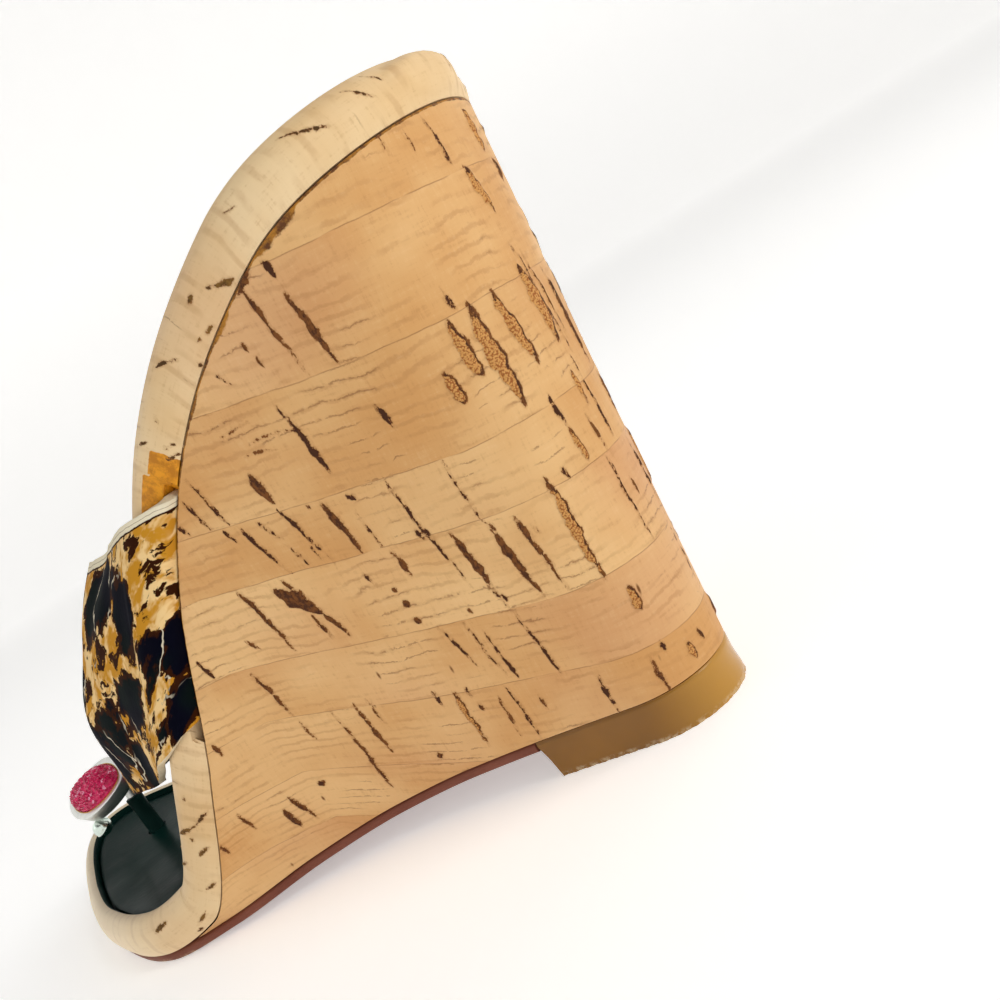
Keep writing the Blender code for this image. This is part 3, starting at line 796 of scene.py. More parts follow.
    def stain(self, r: Recipe, base: Any) -> tuple[Any, Any]:
        """Where the finish has run, and its blotchy colour."""
        blot = r.add(
            "TexNoise", {"Vector": base, "Scale": per_mm(2.6), "Detail": 5.0, "Roughness": 0.7}, "Fac"
        )
        share = r.add("MapRange", {"Value": blot, "From Min": 0.4, "From Max": 0.62}, **SOFT)
        blotch = r.add("MixRGB", {0: share, 1: linear(self.stain_light), 2: linear(self.stain_dark)})
        ragged = r.add("Math", {0: blot, 1: 0.5}, **LESS)
        stain = r.add("Math", {0: r.add("Attribute", out="Fac", attribute_name="stain"), 1: ragged}, **PLUS)
        return r.add("MapRange", {"Value": stain, "From Min": 0.3, "From Max": 0.5}, **SOFT), blotch

    def lenticels(self, r: Recipe, base: Any) -> tuple[Any, Any, Any, Any]:
        """Ragged clefts, with pale granular filling beside a dark lip where one is open.

        Args:
            r: the material's nodes.
            base: the place on the strips.

        Returns:
            The cleft, its colour, the halo round it and how deep its crumbs lie.
        """
        inside, filled, kind = (
            r.add("Attribute", out="Fac", attribute_name=n) for n in ("lens", "lens_core", "lens_kind")
        )
        at = r.add("VectorMath", {0: base, 1: (1.0, 0.6, 1.0)}, **TIMES)
        rag = r.add(
            "TexNoise", {"Vector": at, "Scale": per_mm(0.9), "Detail": 5.0, "Roughness": 0.75}, "Fac"
        )
        rag = r.add("Math", {0: r.add("Math", {0: rag, 1: 0.5}, **LESS), 1: 1.8}, **TIMES)
        reach = r.add("Math", {0: inside, 1: rag}, **PLUS)
        cleft = r.add("MapRange", {"Value": reach, "From Min": -0.02, "From Max": 0.08}, **SOFT)
        halo = r.add(
            "MapRange", {"Value": reach, "From Min": -0.35, "From Max": 0.0, "To Max": 0.3}, **SOFT
        )

        crumb = r.add("TexVoronoi", {"Vector": base, "Scale": per_mm(self.crumb)}, "Distance")
        share = r.add("MapRange", {"Value": crumb, "From Min": 0.46, "From Max": 0.74}, **SOFT)
        crumbs = r.add("MixRGB", {0: share, 1: linear(self.filling), 2: linear(self.red)})
        share = r.add("MapRange", {"Value": rag, "From Min": 0.1, "From Max": 0.4, "To Max": 0.4}, **SOFT)
        crumbs = r.add("MixRGB", {0: share, 1: crumbs, 2: linear(self.brown)})

        is_open = r.add("MapRange", {"Value": kind, "From Min": 0.6, "From Max": 0.9}, **SOFT)
        core = r.add("Math", {0: filled, 1: rag}, **PLUS)
        core = r.add("MapRange", {"Value": core, "From Min": -0.04, "From Max": 0.1}, **SOFT)
        core = r.add("Math", {0: core, 1: is_open}, **TIMES)
        is_brown = r.add("MapRange", {"Value": kind, "From Min": 0.2, "From Max": 0.4}, **SOFT)
        mottle = r.add("MapRange", {"Value": rag, "From Min": -0.15, "From Max": 0.2}, **SOFT)
        mottle = r.add("Math", {0: is_brown, 1: mottle}, **TIMES)
        edge = r.add("MapRange", {"Value": reach, "From Min": 0.16, "From Max": 0.0}, **SOFT)
        colour = linear(self.cleft)
        for share, over in ((mottle, linear(self.brown)), (edge, linear(self.red)), (core, crumbs)):
            colour = r.add("MixRGB", {0: share, 1: colour, 2: over})
        depth = r.add("MapRange", {"Value": crumb, "From Min": 0.3, "From Max": 0.7}, **SOFT)
        return cleft, colour, halo, r.add("Math", {0: depth, 1: core}, **TIMES)

    def material(self) -> bpy.types.Material:
        """Builds the veneer's material on the chart of the flat sheet."""
        r = Recipe(self.name)
        chart = r.add("UVMap", uv_map="sheet")
        around, depth = (r.add("SeparateXYZ", {0: chart}, axis) for axis in "XY")
        row, line = self.rows(r, around, depth)
        slide = r.add("Math", {0: row, 1: self.slide}, **TIMES)
        base = r.add("CombineXYZ", {0: r.add("Math", {0: around, 1: slide}, **PLUS), 1: depth, 2: slide})
        soft, hair = self.rings(r, base)
        grain, cells = self.grain(r, base)
        dark = r.add(
            "MapRange", {"Value": grain, "From Min": 0.52, "From Max": 0.66, "To Max": 0.27}, **SOFT
        )
        light = r.add(
            "MapRange", {"Value": grain, "From Min": 0.48, "From Max": 0.34, "To Max": 0.1}, **SOFT
        )
        cleft, inner, halo, crumbs = self.lenticels(r, base)
        line = r.add("Math", {0: line, 1: 0.42}, **TIMES)
        joint = r.add("Math", {0: line, 1: r.add("Math", {0: hair, 1: 0.48}, **TIMES)}, **MOST)
        ring = linear(self.ring)
        layers = [*self.ground(r, base, row), (soft, ring), (dark, ring), (light, linear(self.light))]
        layers += [*self.paint_front_light(r), self.stain(r, base), (halo, ring), (joint, linear(self.line))]
        layers += [(self.dashes(r, base), linear(self.brown)), (cleft, inner)]
        colour = linear(self.tan)
        for share, over in layers:
            colour = r.add("MixRGB", {0: share, 1: colour, 2: over})

        height = r.add("Math", {0: cells, 1: 0.25}, **TIMES)
        for sunk in (r.add("Math", {0: cleft, 1: joint}, **PLUS), crumbs):
            height = r.add("Math", {0: height, 1: sunk}, **LESS)
        bump = r.add("Bump", {"Strength": 0.55, "Distance": 0.25 * MM, "Height": height})
        gloss = r.add(
            "MapRange", {"Value": grain, "To Min": self.roughness - 0.08, "To Max": self.roughness + 0.12}
        )
        gloss = r.add("Math", {0: gloss, 1: r.add("Math", {0: cleft, 1: 0.8}, **TIMES)}, **MOST)
        return r.give(Base_Color=colour, Roughness=gloss, Normal=bump, Specular_IOR_Level=0.25)


POST_X, POST_BACK = -10.0, 182.0

# The footbed's edge: distance round from the middle of the heel, and distance up from the seam and over the
# rim. What lies below zero round is the inner side.
RIM_STREAKS = (
    Streak(14.5, 9.0, 12.5, 6.0, 0.4, CRACK, 0.3),
    Streak(20.0, 8.0, 16.0, 4.5, 0.5, CRACK, 0.5),
    Streak(33.0, 8.5, 25.5, 4.5, 0.7, CRACK, 0.75),
    Streak(46.0, 7.0, 44.0, 6.0, 0.5, CRACK, 0.2),
    Streak(57.0, 3.0, 53.0, 1.0, 1.1, BROWN, 0.6),
    Streak(58.5, 4.0, 56.5, 3.0, 0.6, CRACK, 0.5),
    Streak(60.5, 5.5, 62.5, 5.5, 1.0, BROWN, 0.5),
    Streak(65.0, 1.5, 62.5, 0.5, 0.7, BROWN, 0.5),
    Streak(67.5, 2.0, 66.0, 2.0, 0.6, BROWN, 0.5),
    Streak(76.0, 7.5, 72.0, 4.0, 0.8, CRACK, 0.15),
    Streak(71.0, 1.0, 69.5, 0.0, 0.8, CRACK, 0.4),
    Streak(84.5, 5.5, 85.5, 4.5, 0.7, CRACK, 0.5),
    Streak(91.0, 8.0, 90.0, 6.0, 0.7, CRACK, 0.5),
    Streak(88.0, 2.0, 87.5, 1.0, 0.6, CRACK, 0.5),
    Streak(89.5, 3.0, 89.0, 2.0, 0.7, BROWN, 0.5),
    Streak(91.5, 2.5, 88.5, 0.0, 0.7, CRACK, 0.4),
    Streak(166.0, 1.0, 170.5, 4.0, 0.8, CRACK, 0.4),
    Streak(170.0, 4.0, 173.5, 9.0, 1.0, BROWN, 0.7),
    Streak(163.5, 5.5, 165.0, 5.5, 0.8, BROWN, 0.5),
    Streak(173.0, 5.5, 174.0, 4.5, 0.8, BROWN, 0.5),
    Streak(176.5, 10.0, 177.5, 9.5, 0.7, BROWN, 0.5),
    Streak(174.5, 1.5, 177.0, 4.0, 1.0, BROWN, 0.6),
    Streak(179.5, 7.0, 181.5, 10.0, 0.8, BROWN, 0.5),
    Streak(182.5, 1.0, 184.5, 3.0, 0.9, BROWN, 0.5),
    Streak(189.0, 2.5, 191.5, 2.5, 0.7, BROWN, 0.5),
    Streak(192.0, 0.5, 194.0, 1.0, 1.0, CRACK, 0.5),
    Streak(197.0, 7.0, 202.0, 6.0, 1.2, BROWN, 0.5),
    Streak(-6.0, 4.0, -9.5, 13.0, 0.7, BROWN, 0.4),
    Streak(-18.0, 2.0, -21.0, 15.0, 1.0, BROWN, 0.5),
    Streak(-28.0, 9.0, -38.0, 17.0, 0.7, CRACK, 0.6),
    Streak(-47.0, 3.0, -50.0, 12.0, 0.6, CRACK, 0.5),
    Streak(-60.0, 12.0, -66.0, 18.0, 0.7, BROWN, 0.5),
    Streak(-78.0, 2.0, -80.5, 8.0, 0.6, CRACK, 0.5),
    Streak(-118.0, 4.0, -124.0, 14.0, 0.7, CRACK, 0.5),
    Streak(-146.0, 10.0, -152.0, 16.0, 0.7, BROWN, 0.5),
    Streak(-176.0, 3.0, -180.0, 10.0, 0.6, CRACK, 0.5),
    Streak(-206.0, 8.0, -212.0, 15.0, 0.7, CRACK, 0.5),
)

WALL_CORK = Cork("cork_veneer", joints=(10.8, 29.6, 49.8, 62.0, 80.0, 95.3, 113.0, 131.0))
EDGE_CORK = Cork(
    "rim_cork",
    tan="DDBB88",
    pale="EDD5AA",
    rosy="DBB48C",
    cleft="4F3616",
    brown="7E5A26",
    stain_light="E0961C",
    stain_dark="B87410",
    ring_axis="X",
    stretch=(1.0, 0.14, 1.0),
    ring_width=4.2,
    ring_strength=0.27,
    # Painted light: the rim pales to cream towards the front.
    painted_light_span=(-0.01, -0.07),
    hair=0.02,
    jog=0.8,
)


@dataclass(frozen=True)
class WedgeBody:
    """The cork body under heel and arch: straight lines from the seam's outline down to the narrow base."""

    last: Last
    outer_columns: int = 322
    inner_columns: int = 230
    levels: int = 168
    cleft_depth: float = 0.4
    # Where the finish has run down from the seam: from where to where round the wall, and how far.
    worn: tuple[tuple[float, float, float], ...] = (
        (21.0, 27.0, 0.8),
        (33.5, 44.5, 2.0),
        (51.0, 58.5, 1.6),
        (64.0, 70.0, 0.9),
    )
    # How far it has run elsewhere, over how far it eases in and out, and how strong it is.
    worn_least: float = 0.08
    worn_ease: float = 2.5
    worn_strength: float = 0.85
    # How the strips rise towards the front: from this distance round, for this far, more so lower down.
    bend_from: float = 45.0
    bend_for: float = 45.0
    row_bend: float = 0.0011
    row_bend_more: float = 1.7e-6
    seed: int = 11
    inner_seed: int = 7

    def half(self, side: Side, columns: int) -> tuple[Array, Array]:
        """One half of the wall.

        Args:
            side: the side of the foot.
            columns: how many columns it gets, evenly along the seam.

        Returns:
            The points at the seam and the points at the base.
        """
        last = self.last
        limit = 1 + (last.wedge_front - last.heel_round) / (last.toe_start - last.heel_round)
        walk = np.linspace(0.0, limit, 4000)
        x, back = last.top_outline(walk, np.full_like(walk, side.value), np.zeros_like(walk))
        even = evenly(np.stack([x, -back, last.through("seam", back)], axis=1), columns + 1)
        back = -even[:, 1]
        even[:, 0] = np.interp(back, -(-np.maximum.accumulate(-even[:, 1])), even[:, 0])
        base_back = last.rake + back * (last.wedge_front - last.rake) / last.wedge_front
        base_x = last.base_outline(base_back, side.value)
        low = last.through("under", base_back) + last.outsole + last.gap
        base = np.stack([base_x, -base_back, low], axis=1)
        return even, base

    @staticmethod
    def unrolled(top: Array, base: Array) -> tuple[Array, Array]:
        """Lays a ruled wall flat, strip by strip, from its first line.

        Args:
            top: the points along its upper edge.
            base: the points along its lower edge.

        Returns:
            The flat places of both, as distance round and depth.
        """
        flat_top = np.zeros((len(top), 2))
        flat_base = np.zeros((len(top), 2))
        flat_base[0, 1] = np.linalg.norm(top[0] - base[0])

        def corner(first: Array, second: Array, from_first: float, from_second: float) -> Array:
            line = second - first
            size = math.hypot(*line)
            along = (from_first**2 - from_second**2 + size**2) / (2 * size)
            out = math.sqrt(max(0.0, from_first**2 - along**2))
            unit = line / size
            return first + unit * along + np.array([-unit[1], unit[0]]) * out

        for i in range(1, len(top)):
            to_top = np.linalg.norm(top[i] - base[i - 1])
            flat_top[i] = corner(
                flat_base[i - 1], flat_top[i - 1], to_top, np.linalg.norm(top[i] - top[i - 1])
            )
            to_base = np.linalg.norm(base[i] - base[i - 1])
            flat_base[i] = corner(flat_base[i - 1], flat_top[i], to_base, np.linalg.norm(base[i] - top[i]))
        return flat_top, flat_base

    def surface(self) -> tuple[Array, Array]:
        """The wall's points, by level and column, and their flat places."""
        parts, charts = [], []
        for side, columns in ((Side.INNER, self.inner_columns), (Side.OUTER, self.outer_columns)):
            top, base = self.half(side, columns)
            flat_top, flat_base = self.unrolled(top, base)
            level = np.linspace(0.0, 1.0, self.levels + 1)[:, None, None]
            points = base + (top - base) * level
            chart = flat_base + (flat_top - flat_base) * level
            chart[..., 0] *= side.value
            if side is Side.INNER:
                points, chart = points[:, ::-1], chart[:, ::-1]
                points, chart = points[:, :-1], chart[:, :-1]
            parts.append(points)
            charts.append(chart)
        return np.concatenate(parts, axis=1), np.concatenate(charts, axis=1)

    def strips(self, chart: Array) -> Array:
        """The flat places with the depth measured along the strips, which rise a little towards the front."""
        around, depth = np.abs(chart[..., 0]), chart[..., 1]
        reach = np.clip(around - self.bend_from, 0.0, self.bend_for)
        bend = self.row_bend + self.row_bend_more * np.maximum(depth - 50.0, 0.0) ** 2
        return np.stack([chart[..., 0], depth + bend * reach**2], axis=-1)

    def inner_streaks(self) -> list[Streak]:
        """Lenticels for the inner side, strewn along its strips."""
        draw = np.random.default_rng(self.inner_seed)
        rows = (1.0, *WALL_CORK.joints[:6], 112.0)
        made = []
        for top, low in zip(rows, rows[1:]):
            around = -31.0
            while around > -118.0:
                lens = (CRACK, CRACK, BROWN, BROWN, OPEN)[draw.integers(5)]
                start = top + (0.4 if draw.random() < 0.6 else draw.uniform(0.0, 0.5) * (low - top))
                stop = low - (0.4 if draw.random() < 0.5 else draw.uniform(0.0, 0.4) * (low - top))
                width = draw.uniform(0.6, 1.3) if lens is not OPEN else draw.uniform(1.4, 2.6)
                bend = self.row_bend * min(max(-around - self.bend_from, 0.0), self.bend_for) ** 2
                lean = 0.05 + 0.0016 * -around
                made.append(
                    Streak(
                        around,
                        start - bend,
                        around + lean * (stop - start),
                        stop - bend,
                        width,
                        lens,
                        draw.uniform(0.2, 0.8),
                    )
                )
                around -= draw.gamma(2.2, 3.0) + 1.2
        return made

    @staticmethod
    def lenses(chart: Array, streaks: Sequence[Streak], seed: int, crack: float = 0.78) -> dict[str, Array]:
        """How far inside a lenticel each flat place lies.

        Args:
            chart: flat places in millimetres.
            streaks: the lenticels.
            seed: picks their wavering.
            crack: how much of its full width an empty lenticel has.

        Returns:
            "lens", the millimetres inside the nearest lenticel's edge, negative outside; "lens_core", the
            same for its filling, which leaves a dark lip on one side; and "lens_kind".
        """
        draw = np.random.default_rng(seed)
        marks = {
            "lens": np.full(chart.shape[:2], -3.0),
            "lens_core": np.full(chart.shape[:2], -3.0),
            "lens_kind": np.zeros(chart.shape[:2]),
        }
        for streak in streaks:
            start = np.array([streak.round_top, streak.depth_top])
            line = np.array([streak.round_low, streak.depth_low]) - start
            size = math.hypot(*line)
            waves = draw.uniform(0.0, 2 * math.pi, 4)
            near = (np.abs(chart - start - line / 2) < np.abs(line) / 2 + 3.5).all(axis=-1)
            at = chart[near] - start
            along = at @ line / size**2
            off = (at[:, 0] * line[1] - at[:, 1] * line[0]) / size
            swing = 0.10 * np.sin(along * size * 0.9 + waves[0]) + 0.16 * np.sin(
                along * size * 0.35 + waves[1]
            )
            rise = np.clip(along / streak.widest, 0, 1) ** 0.5
            fall = np.clip((1 - along) / (1 - streak.widest), 0, 1) ** 0.6
            ragged = 1 + 0.12 * np.sin(along * size * 1.3 + waves[2]) + 0.09 * np.sin(
                along * size * 2.3 + waves[3]
            )
            full = 0.5 * streak.width * (crack if streak.lens is CRACK else 0.95)
            half = full * np.minimum(rise, fall) * ragged
            beyond = np.maximum(np.maximum(-along, along - 1), 0) * size
            depth = half - np.hypot(np.abs(off - swing), beyond)
            lip = 0.22 * full
            core = (half - lip * 0.8) - np.abs(off - swing - lip)
            core = np.minimum(core, (np.minimum(along - 0.12, 0.9 - along)) * size * 0.5)
            better = depth > marks["lens"][near]
            chosen = tuple(axis[better] for axis in np.nonzero(near))
            marks["lens"][chosen] = depth[better]
            marks["lens_core"][chosen] = core[better]
            marks["lens_kind"][chosen] = streak.lens.value
        return marks

    def build(self) -> bpy.types.Object:
        """Makes the wedge and dresses it in veneer."""
        points, chart = self.surface()
        streaks = [*OUTER_STREAKS, *BACK_STREAKS, *self.inner_streaks()]
        marks = self.lenses(chart, streaks, self.seed)
        inside = marks["lens"]
        to_seam = np.linalg.norm(points - points[-1:], axis=-1)
        around = chart[..., 0]
        reach = np.full_like(around, self.worn_least)
        for start, stop, deep in self.worn:
            rise = smooth_step(around, start, start + self.worn_ease)
            reach += deep * rise * (1 - smooth_step(around, stop - self.worn_ease, stop))
        marks["stain"] = self.worn_strength * np.clip(1 - to_seam / reach, 0, 1)
        along = np.gradient(points, axis=1)
        up = np.gradient(points, axis=0)
        normal = np.cross(along, up)
        normal /= np.maximum(np.linalg.norm(normal, axis=-1, keepdims=True), 1e-9)
        sunk = self.cleft_depth * smooth_step(inside, -0.1, 0.45)
        points = points - normal * sunk[..., None]
        strips = self.strips(chart)
        placed = self.last.place(points)
        levels = np.broadcast_to(np.arange(len(points), dtype=float)[:, None], inside.shape)
        wall = Bench.grid("wedge_veneer", placed, strips * MM, level=levels, **marks)

        def chain(level: int) -> Callable[[Any], bool]:
            heel = Vector(placed[level][self.inner_columns])

            def wanted(edge: Any) -> bool:
                mark = bmesh.from_edit_mesh(wall.data).verts.layers.float["level"]
                if not edge.is_boundary or any(round(v[mark]) != level % len(points) for v in edge.verts):
                    return False
                return min((v.co - heel).length for v in edge.verts) > 1e-5

            return wanted

        Bench.close(wall, [chain(0), chain(-1)])
        wall.data.attributes.remove(wall.data.attributes["level"])
        return Bench.finish(wall, [WALL_CORK.material()], "cork_veneer", ["wedge"], 60.0)


@dataclass(frozen=True)
class Footbed:
    """The board under the foot, edged in cork, and the sock that lines it."""

    last: Last
    columns: int = 640
    spans: int = 5
    # How far out the rim bulges, how high as a share of the thickness, and how far below that.
    rim: tuple[tuple[float, float, float], ...] = (
        (0.0, 0.0, -0.3),
        (1.0, 0.25, 0.0),
        (1.3, 0.50, 0.0),
        (1.0, 0.72, 0.0),
        (0.1, 0.88, 0.0),
        (-0.9, 0.97, 0.0),
        (-2.0, 1.0, 0.0),
        (-3.1, 0.97, 0.0),
        (-3.8, 0.86, 0.0),
        (-4.2, 1.0, 3.2),
    )
    # The underside's rings, from the middle outwards, in the same measures.
    under: tuple[tuple[float, float, float], ...] = (
        (-14.0, 0.0, -0.3), (-8.7, 0.0, -0.3), (-8.5, 0.0, -0.3)
    )
    # The pocket under the rim, which the upper's wings lie in: from where to where, how far in and how high.
    pocket: tuple[float, float, float, float] = (63.7, 94.0, 8.6, 2.2)
    # How far inside the seam's outline the sock has got, and how far below the rim's top.
    lining: tuple[tuple[float, float], ...] = (
        (4.5, 2.9),
        (4.5, 2.1),
        (4.6, 1.7),
        (5.0, 1.5),
        (5.8, 1.42),
        (7.2, 1.42),
        (9.6, 1.46),
        (14.0, 1.5),
        (19.0, 1.5),
        (24.0, 1.5),
        (28.0, 1.5),
    )
    lined_from: float = 3.0
    post_hole: float = 2.5
    # The amber patch at the strap's root: where it starts, its lean, its end and its soft upper edge.
    amber_from: float = 90.2
    amber_lean: float = 0.16
    amber_to: float = 106.0
    amber_top: tuple[float, float] = (5.1, 5.4)
    cleft_depth: float = 0.25
    seed: int = 5
    crack: float = 0.85

    def walk(self) -> Array:
        """Steps of the walk that are even along the seam's outline."""
        steps = np.linspace(0.0, 3.0, 6000)
        x, back = self.last.top_outline(steps, np.ones_like(steps), np.zeros_like(steps))
        line = np.stack([x, back, self.last.through("seam", back), steps], axis=1)
        sizes = np.linalg.norm(np.diff(line[:, :3], axis=0), axis=1)
        along = np.concatenate([[0.0], np.cumsum(sizes)])
        return np.interp(np.linspace(0.0, along[-1], self.columns + 1), along, steps)

    def rings(self, side: Side, insets: Array, shares: Array, drops: Array) -> Array:
        """Rings of the board on one side.

        Args:
            side: the side of the foot.
            insets: how far inside the seam's outline each ring lies.
            shares: each ring's height as a share of the thickness.
            drops: how far below that it lies.

        Returns:
            The points by ring and step.
        """
        walk = np.broadcast_to(self.walk(), (len(insets), self.columns + 1))
        inset = np.broadcast_to(insets[:, None], walk.shape)
        x, back = self.last.top_outline(walk, np.full(walk.shape, float(side.value)), inset)
        height = shares[:, None] * self.last.thickness(back) - drops[:, None]
        start, stop, deep, high = self.pocket
        pocketed = (back > start) & (back < stop) & (inset < deep)
        return self.last.over_seam(x, back, np.where(pocketed, np.maximum(height, high), height))

    def chart(self, points: Array) -> Array:
        """The rim laid flat: distance round the middle ring, and distance up and over from the seam."""
        seam = len(self.under)
        middle = points[seam + (len(points) - seam) // 3]
        around = np.concatenate([[0.0], np.cumsum(np.linalg.norm(np.diff(middle, axis=0), axis=1))])
        across = np.cumsum(np.linalg.norm(np.diff(points, axis=0), axis=2), axis=0)
        across = np.concatenate([np.zeros((1, points.shape[1])), across])
        across = across - across[seam]
        return np.stack([np.broadcast_to(around, across.shape), across], axis=-1)

    def board(self) -> bpy.types.Object:
        """Makes the board with its cork rim."""
        profile = np.concatenate([np.array(self.under), catmull(np.array(self.rim), self.spans)])
        columns = (-profile[:, 0], profile[:, 1], profile[:, 2])
        outer, inner = self.rings(Side.OUTER, *columns), self.rings(Side.INNER, *columns)
        chart = self.chart(outer)
        signed = np.concatenate([chart, chart * np.array([-1.0, 1.0])])
        marks = WedgeBody.lenses(signed, RIM_STREAKS, self.seed, self.crack)
        inside = marks["lens"]
        start = self.amber_from + self.amber_lean * signed[..., 1]
        amber = smooth_step(signed[..., 0], start - 0.2, start + 0.2) * (signed[..., 0] < self.amber_to)
        marks["stain"] = amber * (1 - smooth_step(signed[..., 1], *self.amber_top))
        lined = (-profile[:, 0] > self.lined_from) & (np.arange(len(profile)) > len(self.under))
        points = np.concatenate([outer, inner])
        normal = np.cross(np.gradient(points, axis=1), np.gradient(points, axis=0))
        normal[: len(outer)] = np.cross(np.gradient(outer, axis=1), np.gradient(outer, axis=0))
        normal[len(outer) :] = -np.cross(np.gradient(inner, axis=1), np.gradient(inner, axis=0))
        size = np.linalg.norm(normal, axis=-1, keepdims=True)
        normal = np.where(size > 1e-6, normal / np.maximum(size, 1e-6), 0.0)
        points = points - normal * (self.cleft_depth * smooth_step(inside, -0.1, 0.4))[..., None]
        placed = self.last.place(points)
        board = Bench.shell(
            "footbed_board",
            placed[: len(outer)],
            placed[len(outer) :],
            chart * MM,
            lined=np.broadcast_to(np.tile(lined, 2)[:, None], inside.shape).astype(float),
            **marks,
        )
        mark = board.data.attributes["lined"].data
        for face in board.data.polygons:
            face.material_index = int(all(mark[i].value > 0.5 for i in face.vertices))
        board.data.attributes.remove(board.data.attributes["lined"])
        finishes = [EDGE_CORK.material(), PatentLeather("rim_lining").material()]
        return Bench.finish(board, finishes, "rim_cork", ["footbed"], 50.0)

    def sock(self) -> bpy.types.Object:
        """Makes the sock with the toe post's hole."""
        profile = np.array(self.lining)
        columns = (profile[:, 0], np.ones(len(profile)), profile[:, 1])
        outer, inner = self.rings(Side.OUTER, *columns), self.rings(Side.INNER, *columns)
        sock = Bench.shell("sock", self.last.place(outer), self.last.place(inner))
        place = self.last.place(np.array([POST_X, -POST_BACK, 8.0]))
        bpy.ops.object.select_all(action="DESELECT")
        bpy.ops.mesh.primitive_cylinder_add(
            vertices=40, radius=self.post_hole * MM, depth=16 * MM, location=place
        )
        drill = bpy.context.active_object
        Bench.combine(sock, drill, "DIFFERENCE")
        return Bench.finish(sock, [PatentLeather().material()], "sock_leather", ["insole"], 40.0)

    def build(self) -> None:
        """Makes both pieces."""
        self.board()
        self.sock()


@dataclass(frozen=True)
class PatentLeather:
    """Patent leather: dyed leather under a thick clear film, so it is nearly black and glossy, with a faint
    pebble."""

    name: str = "sock_leather"
    body: str = "041B18"
    lighter: str = "0E2C27"
    pebble: float = 1.1

    def material(self) -> bpy.types.Material:
        """Builds the material."""
        r = Recipe(self.name)
        at = r.add("TexCoord", out="Object")
        cloud = r.add("TexNoise", {"Vector": at, "Scale": per_mm(22.0), "Detail": 3.0}, "Fac")
        grain = r.add(
            "TexVoronoi", {"Vector": at, "Scale": per_mm(self.pebble)}, "Distance", feature="SMOOTH_F1"
        )
        fine = r.add("TexNoise", {"Vector": at, "Scale": per_mm(0.5), "Detail": 3.0}, "Fac")
        colour = r.add("MixRGB", {0: cloud, 1: linear(self.body), 2: linear(self.lighter)})
        worn = r.add(
            "MapRange", {"Value": cloud, "From Min": 0.5, "From Max": 0.7, "To Min": 0.28, "To Max": 0.42}
        )
        height = r.add("Math", {0: grain, 1: fine}, **PLUS)
        bump = r.add("Bump", {"Strength": 0.12, "Distance": 0.2 * MM, "Height": height})
        return r.give(Base_Color=colour, Roughness=worn, Normal=bump, Specular_IOR_Level=0.4, IOR=1.08)


@dataclass(frozen=True)
class Rubber:
    """Moulded rubber, smooth, with dust and scuffs where it meets the floor, and where asked a painted
    highlight that turns it to the light colour towards the heel's back.
    """

    name: str
    body: str
    deep: str
    # The colour of the painted highlight towards the heel's back.
    light: str
    roughness: float
    tread: float = 0.0
    coat: float = 0.0
    # From where to where along the shoe the painted highlight rises, standing in for the sheen on the lift's
    # rounded back.
    painted_highlight_span: tuple[float, float] = (0.0, 0.0)

    def material(self) -> bpy.types.Material:
        """Builds the material."""
        r = Recipe(self.name)
        at = r.add("TexCoord", out="Object")
        cloud = r.add("TexNoise", {"Vector": at, "Scale": per_mm(9.0), "Detail": 4.0}, "Fac")
        colour = r.add("MixRGB", {0: cloud, 1: linear(self.body), 2: linear(self.deep)})
        start, stop = self.painted_highlight_span
        # Painted highlight: paler towards the heel's back, where the rounded back would catch the light.
        if stop > start:
            along = r.add("SeparateXYZ", {0: at}, "Y")
            thin = r.add("MapRange", {"Value": along, "From Min": start, "From Max": stop}, **SOFT)
            colour = r.add("MixRGB", {0: thin, 1: colour, 2: linear(self.light)})
        height = r.add("SeparateXYZ", {0: at}, "Z")
        near_floor = r.add("MapRange", {"Value": height, "From Min": 1.1 * MM, "From Max": 0.3 * MM})
        dust = r.add(
            "TexNoise", {"Vector": at, "Scale": per_mm(1.6), "Detail": 5.0, "Roughness": 0.7}, "Fac"
        )
        dust = r.add("MapRange", {"Value": dust, "From Min": 0.45, "From Max": 0.7})
        dust = r.add("Math", {0: dust, 1: near_floor}, **TIMES)
        colour = r.add(
            "MixRGB", {0: r.add("Math", {0: dust, 1: 0.75}, **TIMES), 1: colour, 2: linear("D9C9A6")}
        )
        rough = r.add(
            "MapRange", {"Value": cloud, "To Min": self.roughness, "To Max": self.roughness + 0.18}
        )
        rough = r.add("Math", {0: rough, 1: r.add("Math", {0: dust, 1: 0.3}, **TIMES)}, **PLUS)
        fine = r.add("TexNoise", {"Vector": at, "Scale": per_mm(0.8), "Detail": 3.0}, "Fac")
        bump = r.add("Bump", {"Strength": 0.18, "Distance": 0.15 * MM, "Height": fine})
        if self.tread:
            ribs = r.add(
                "TexWave", {"Vector": at, "Scale": per_mm(self.tread * 3.1)}, "Fac", bands_direction="Y"
            )
            down = r.add("SeparateXYZ", {0: r.add("NewGeometry", out="Normal")}, "Z")
            under = r.add("MapRange", {"Value": down, "From Min": -0.7, "From Max": -0.9})
            ribs = r.add("Math", {0: ribs, 1: under}, **TIMES)
            bump = r.add("Bump", {"Strength": 0.6, "Distance": 0.5 * MM, "Height": ribs, "Normal": bump})
        return r.give(
            Base_Color=colour,
            Roughness=rough,
            Normal=bump,
            Coat_Weight=self.coat,
            Coat_Roughness=0.08,
            Specular_IOR_Level=0.2,
        )


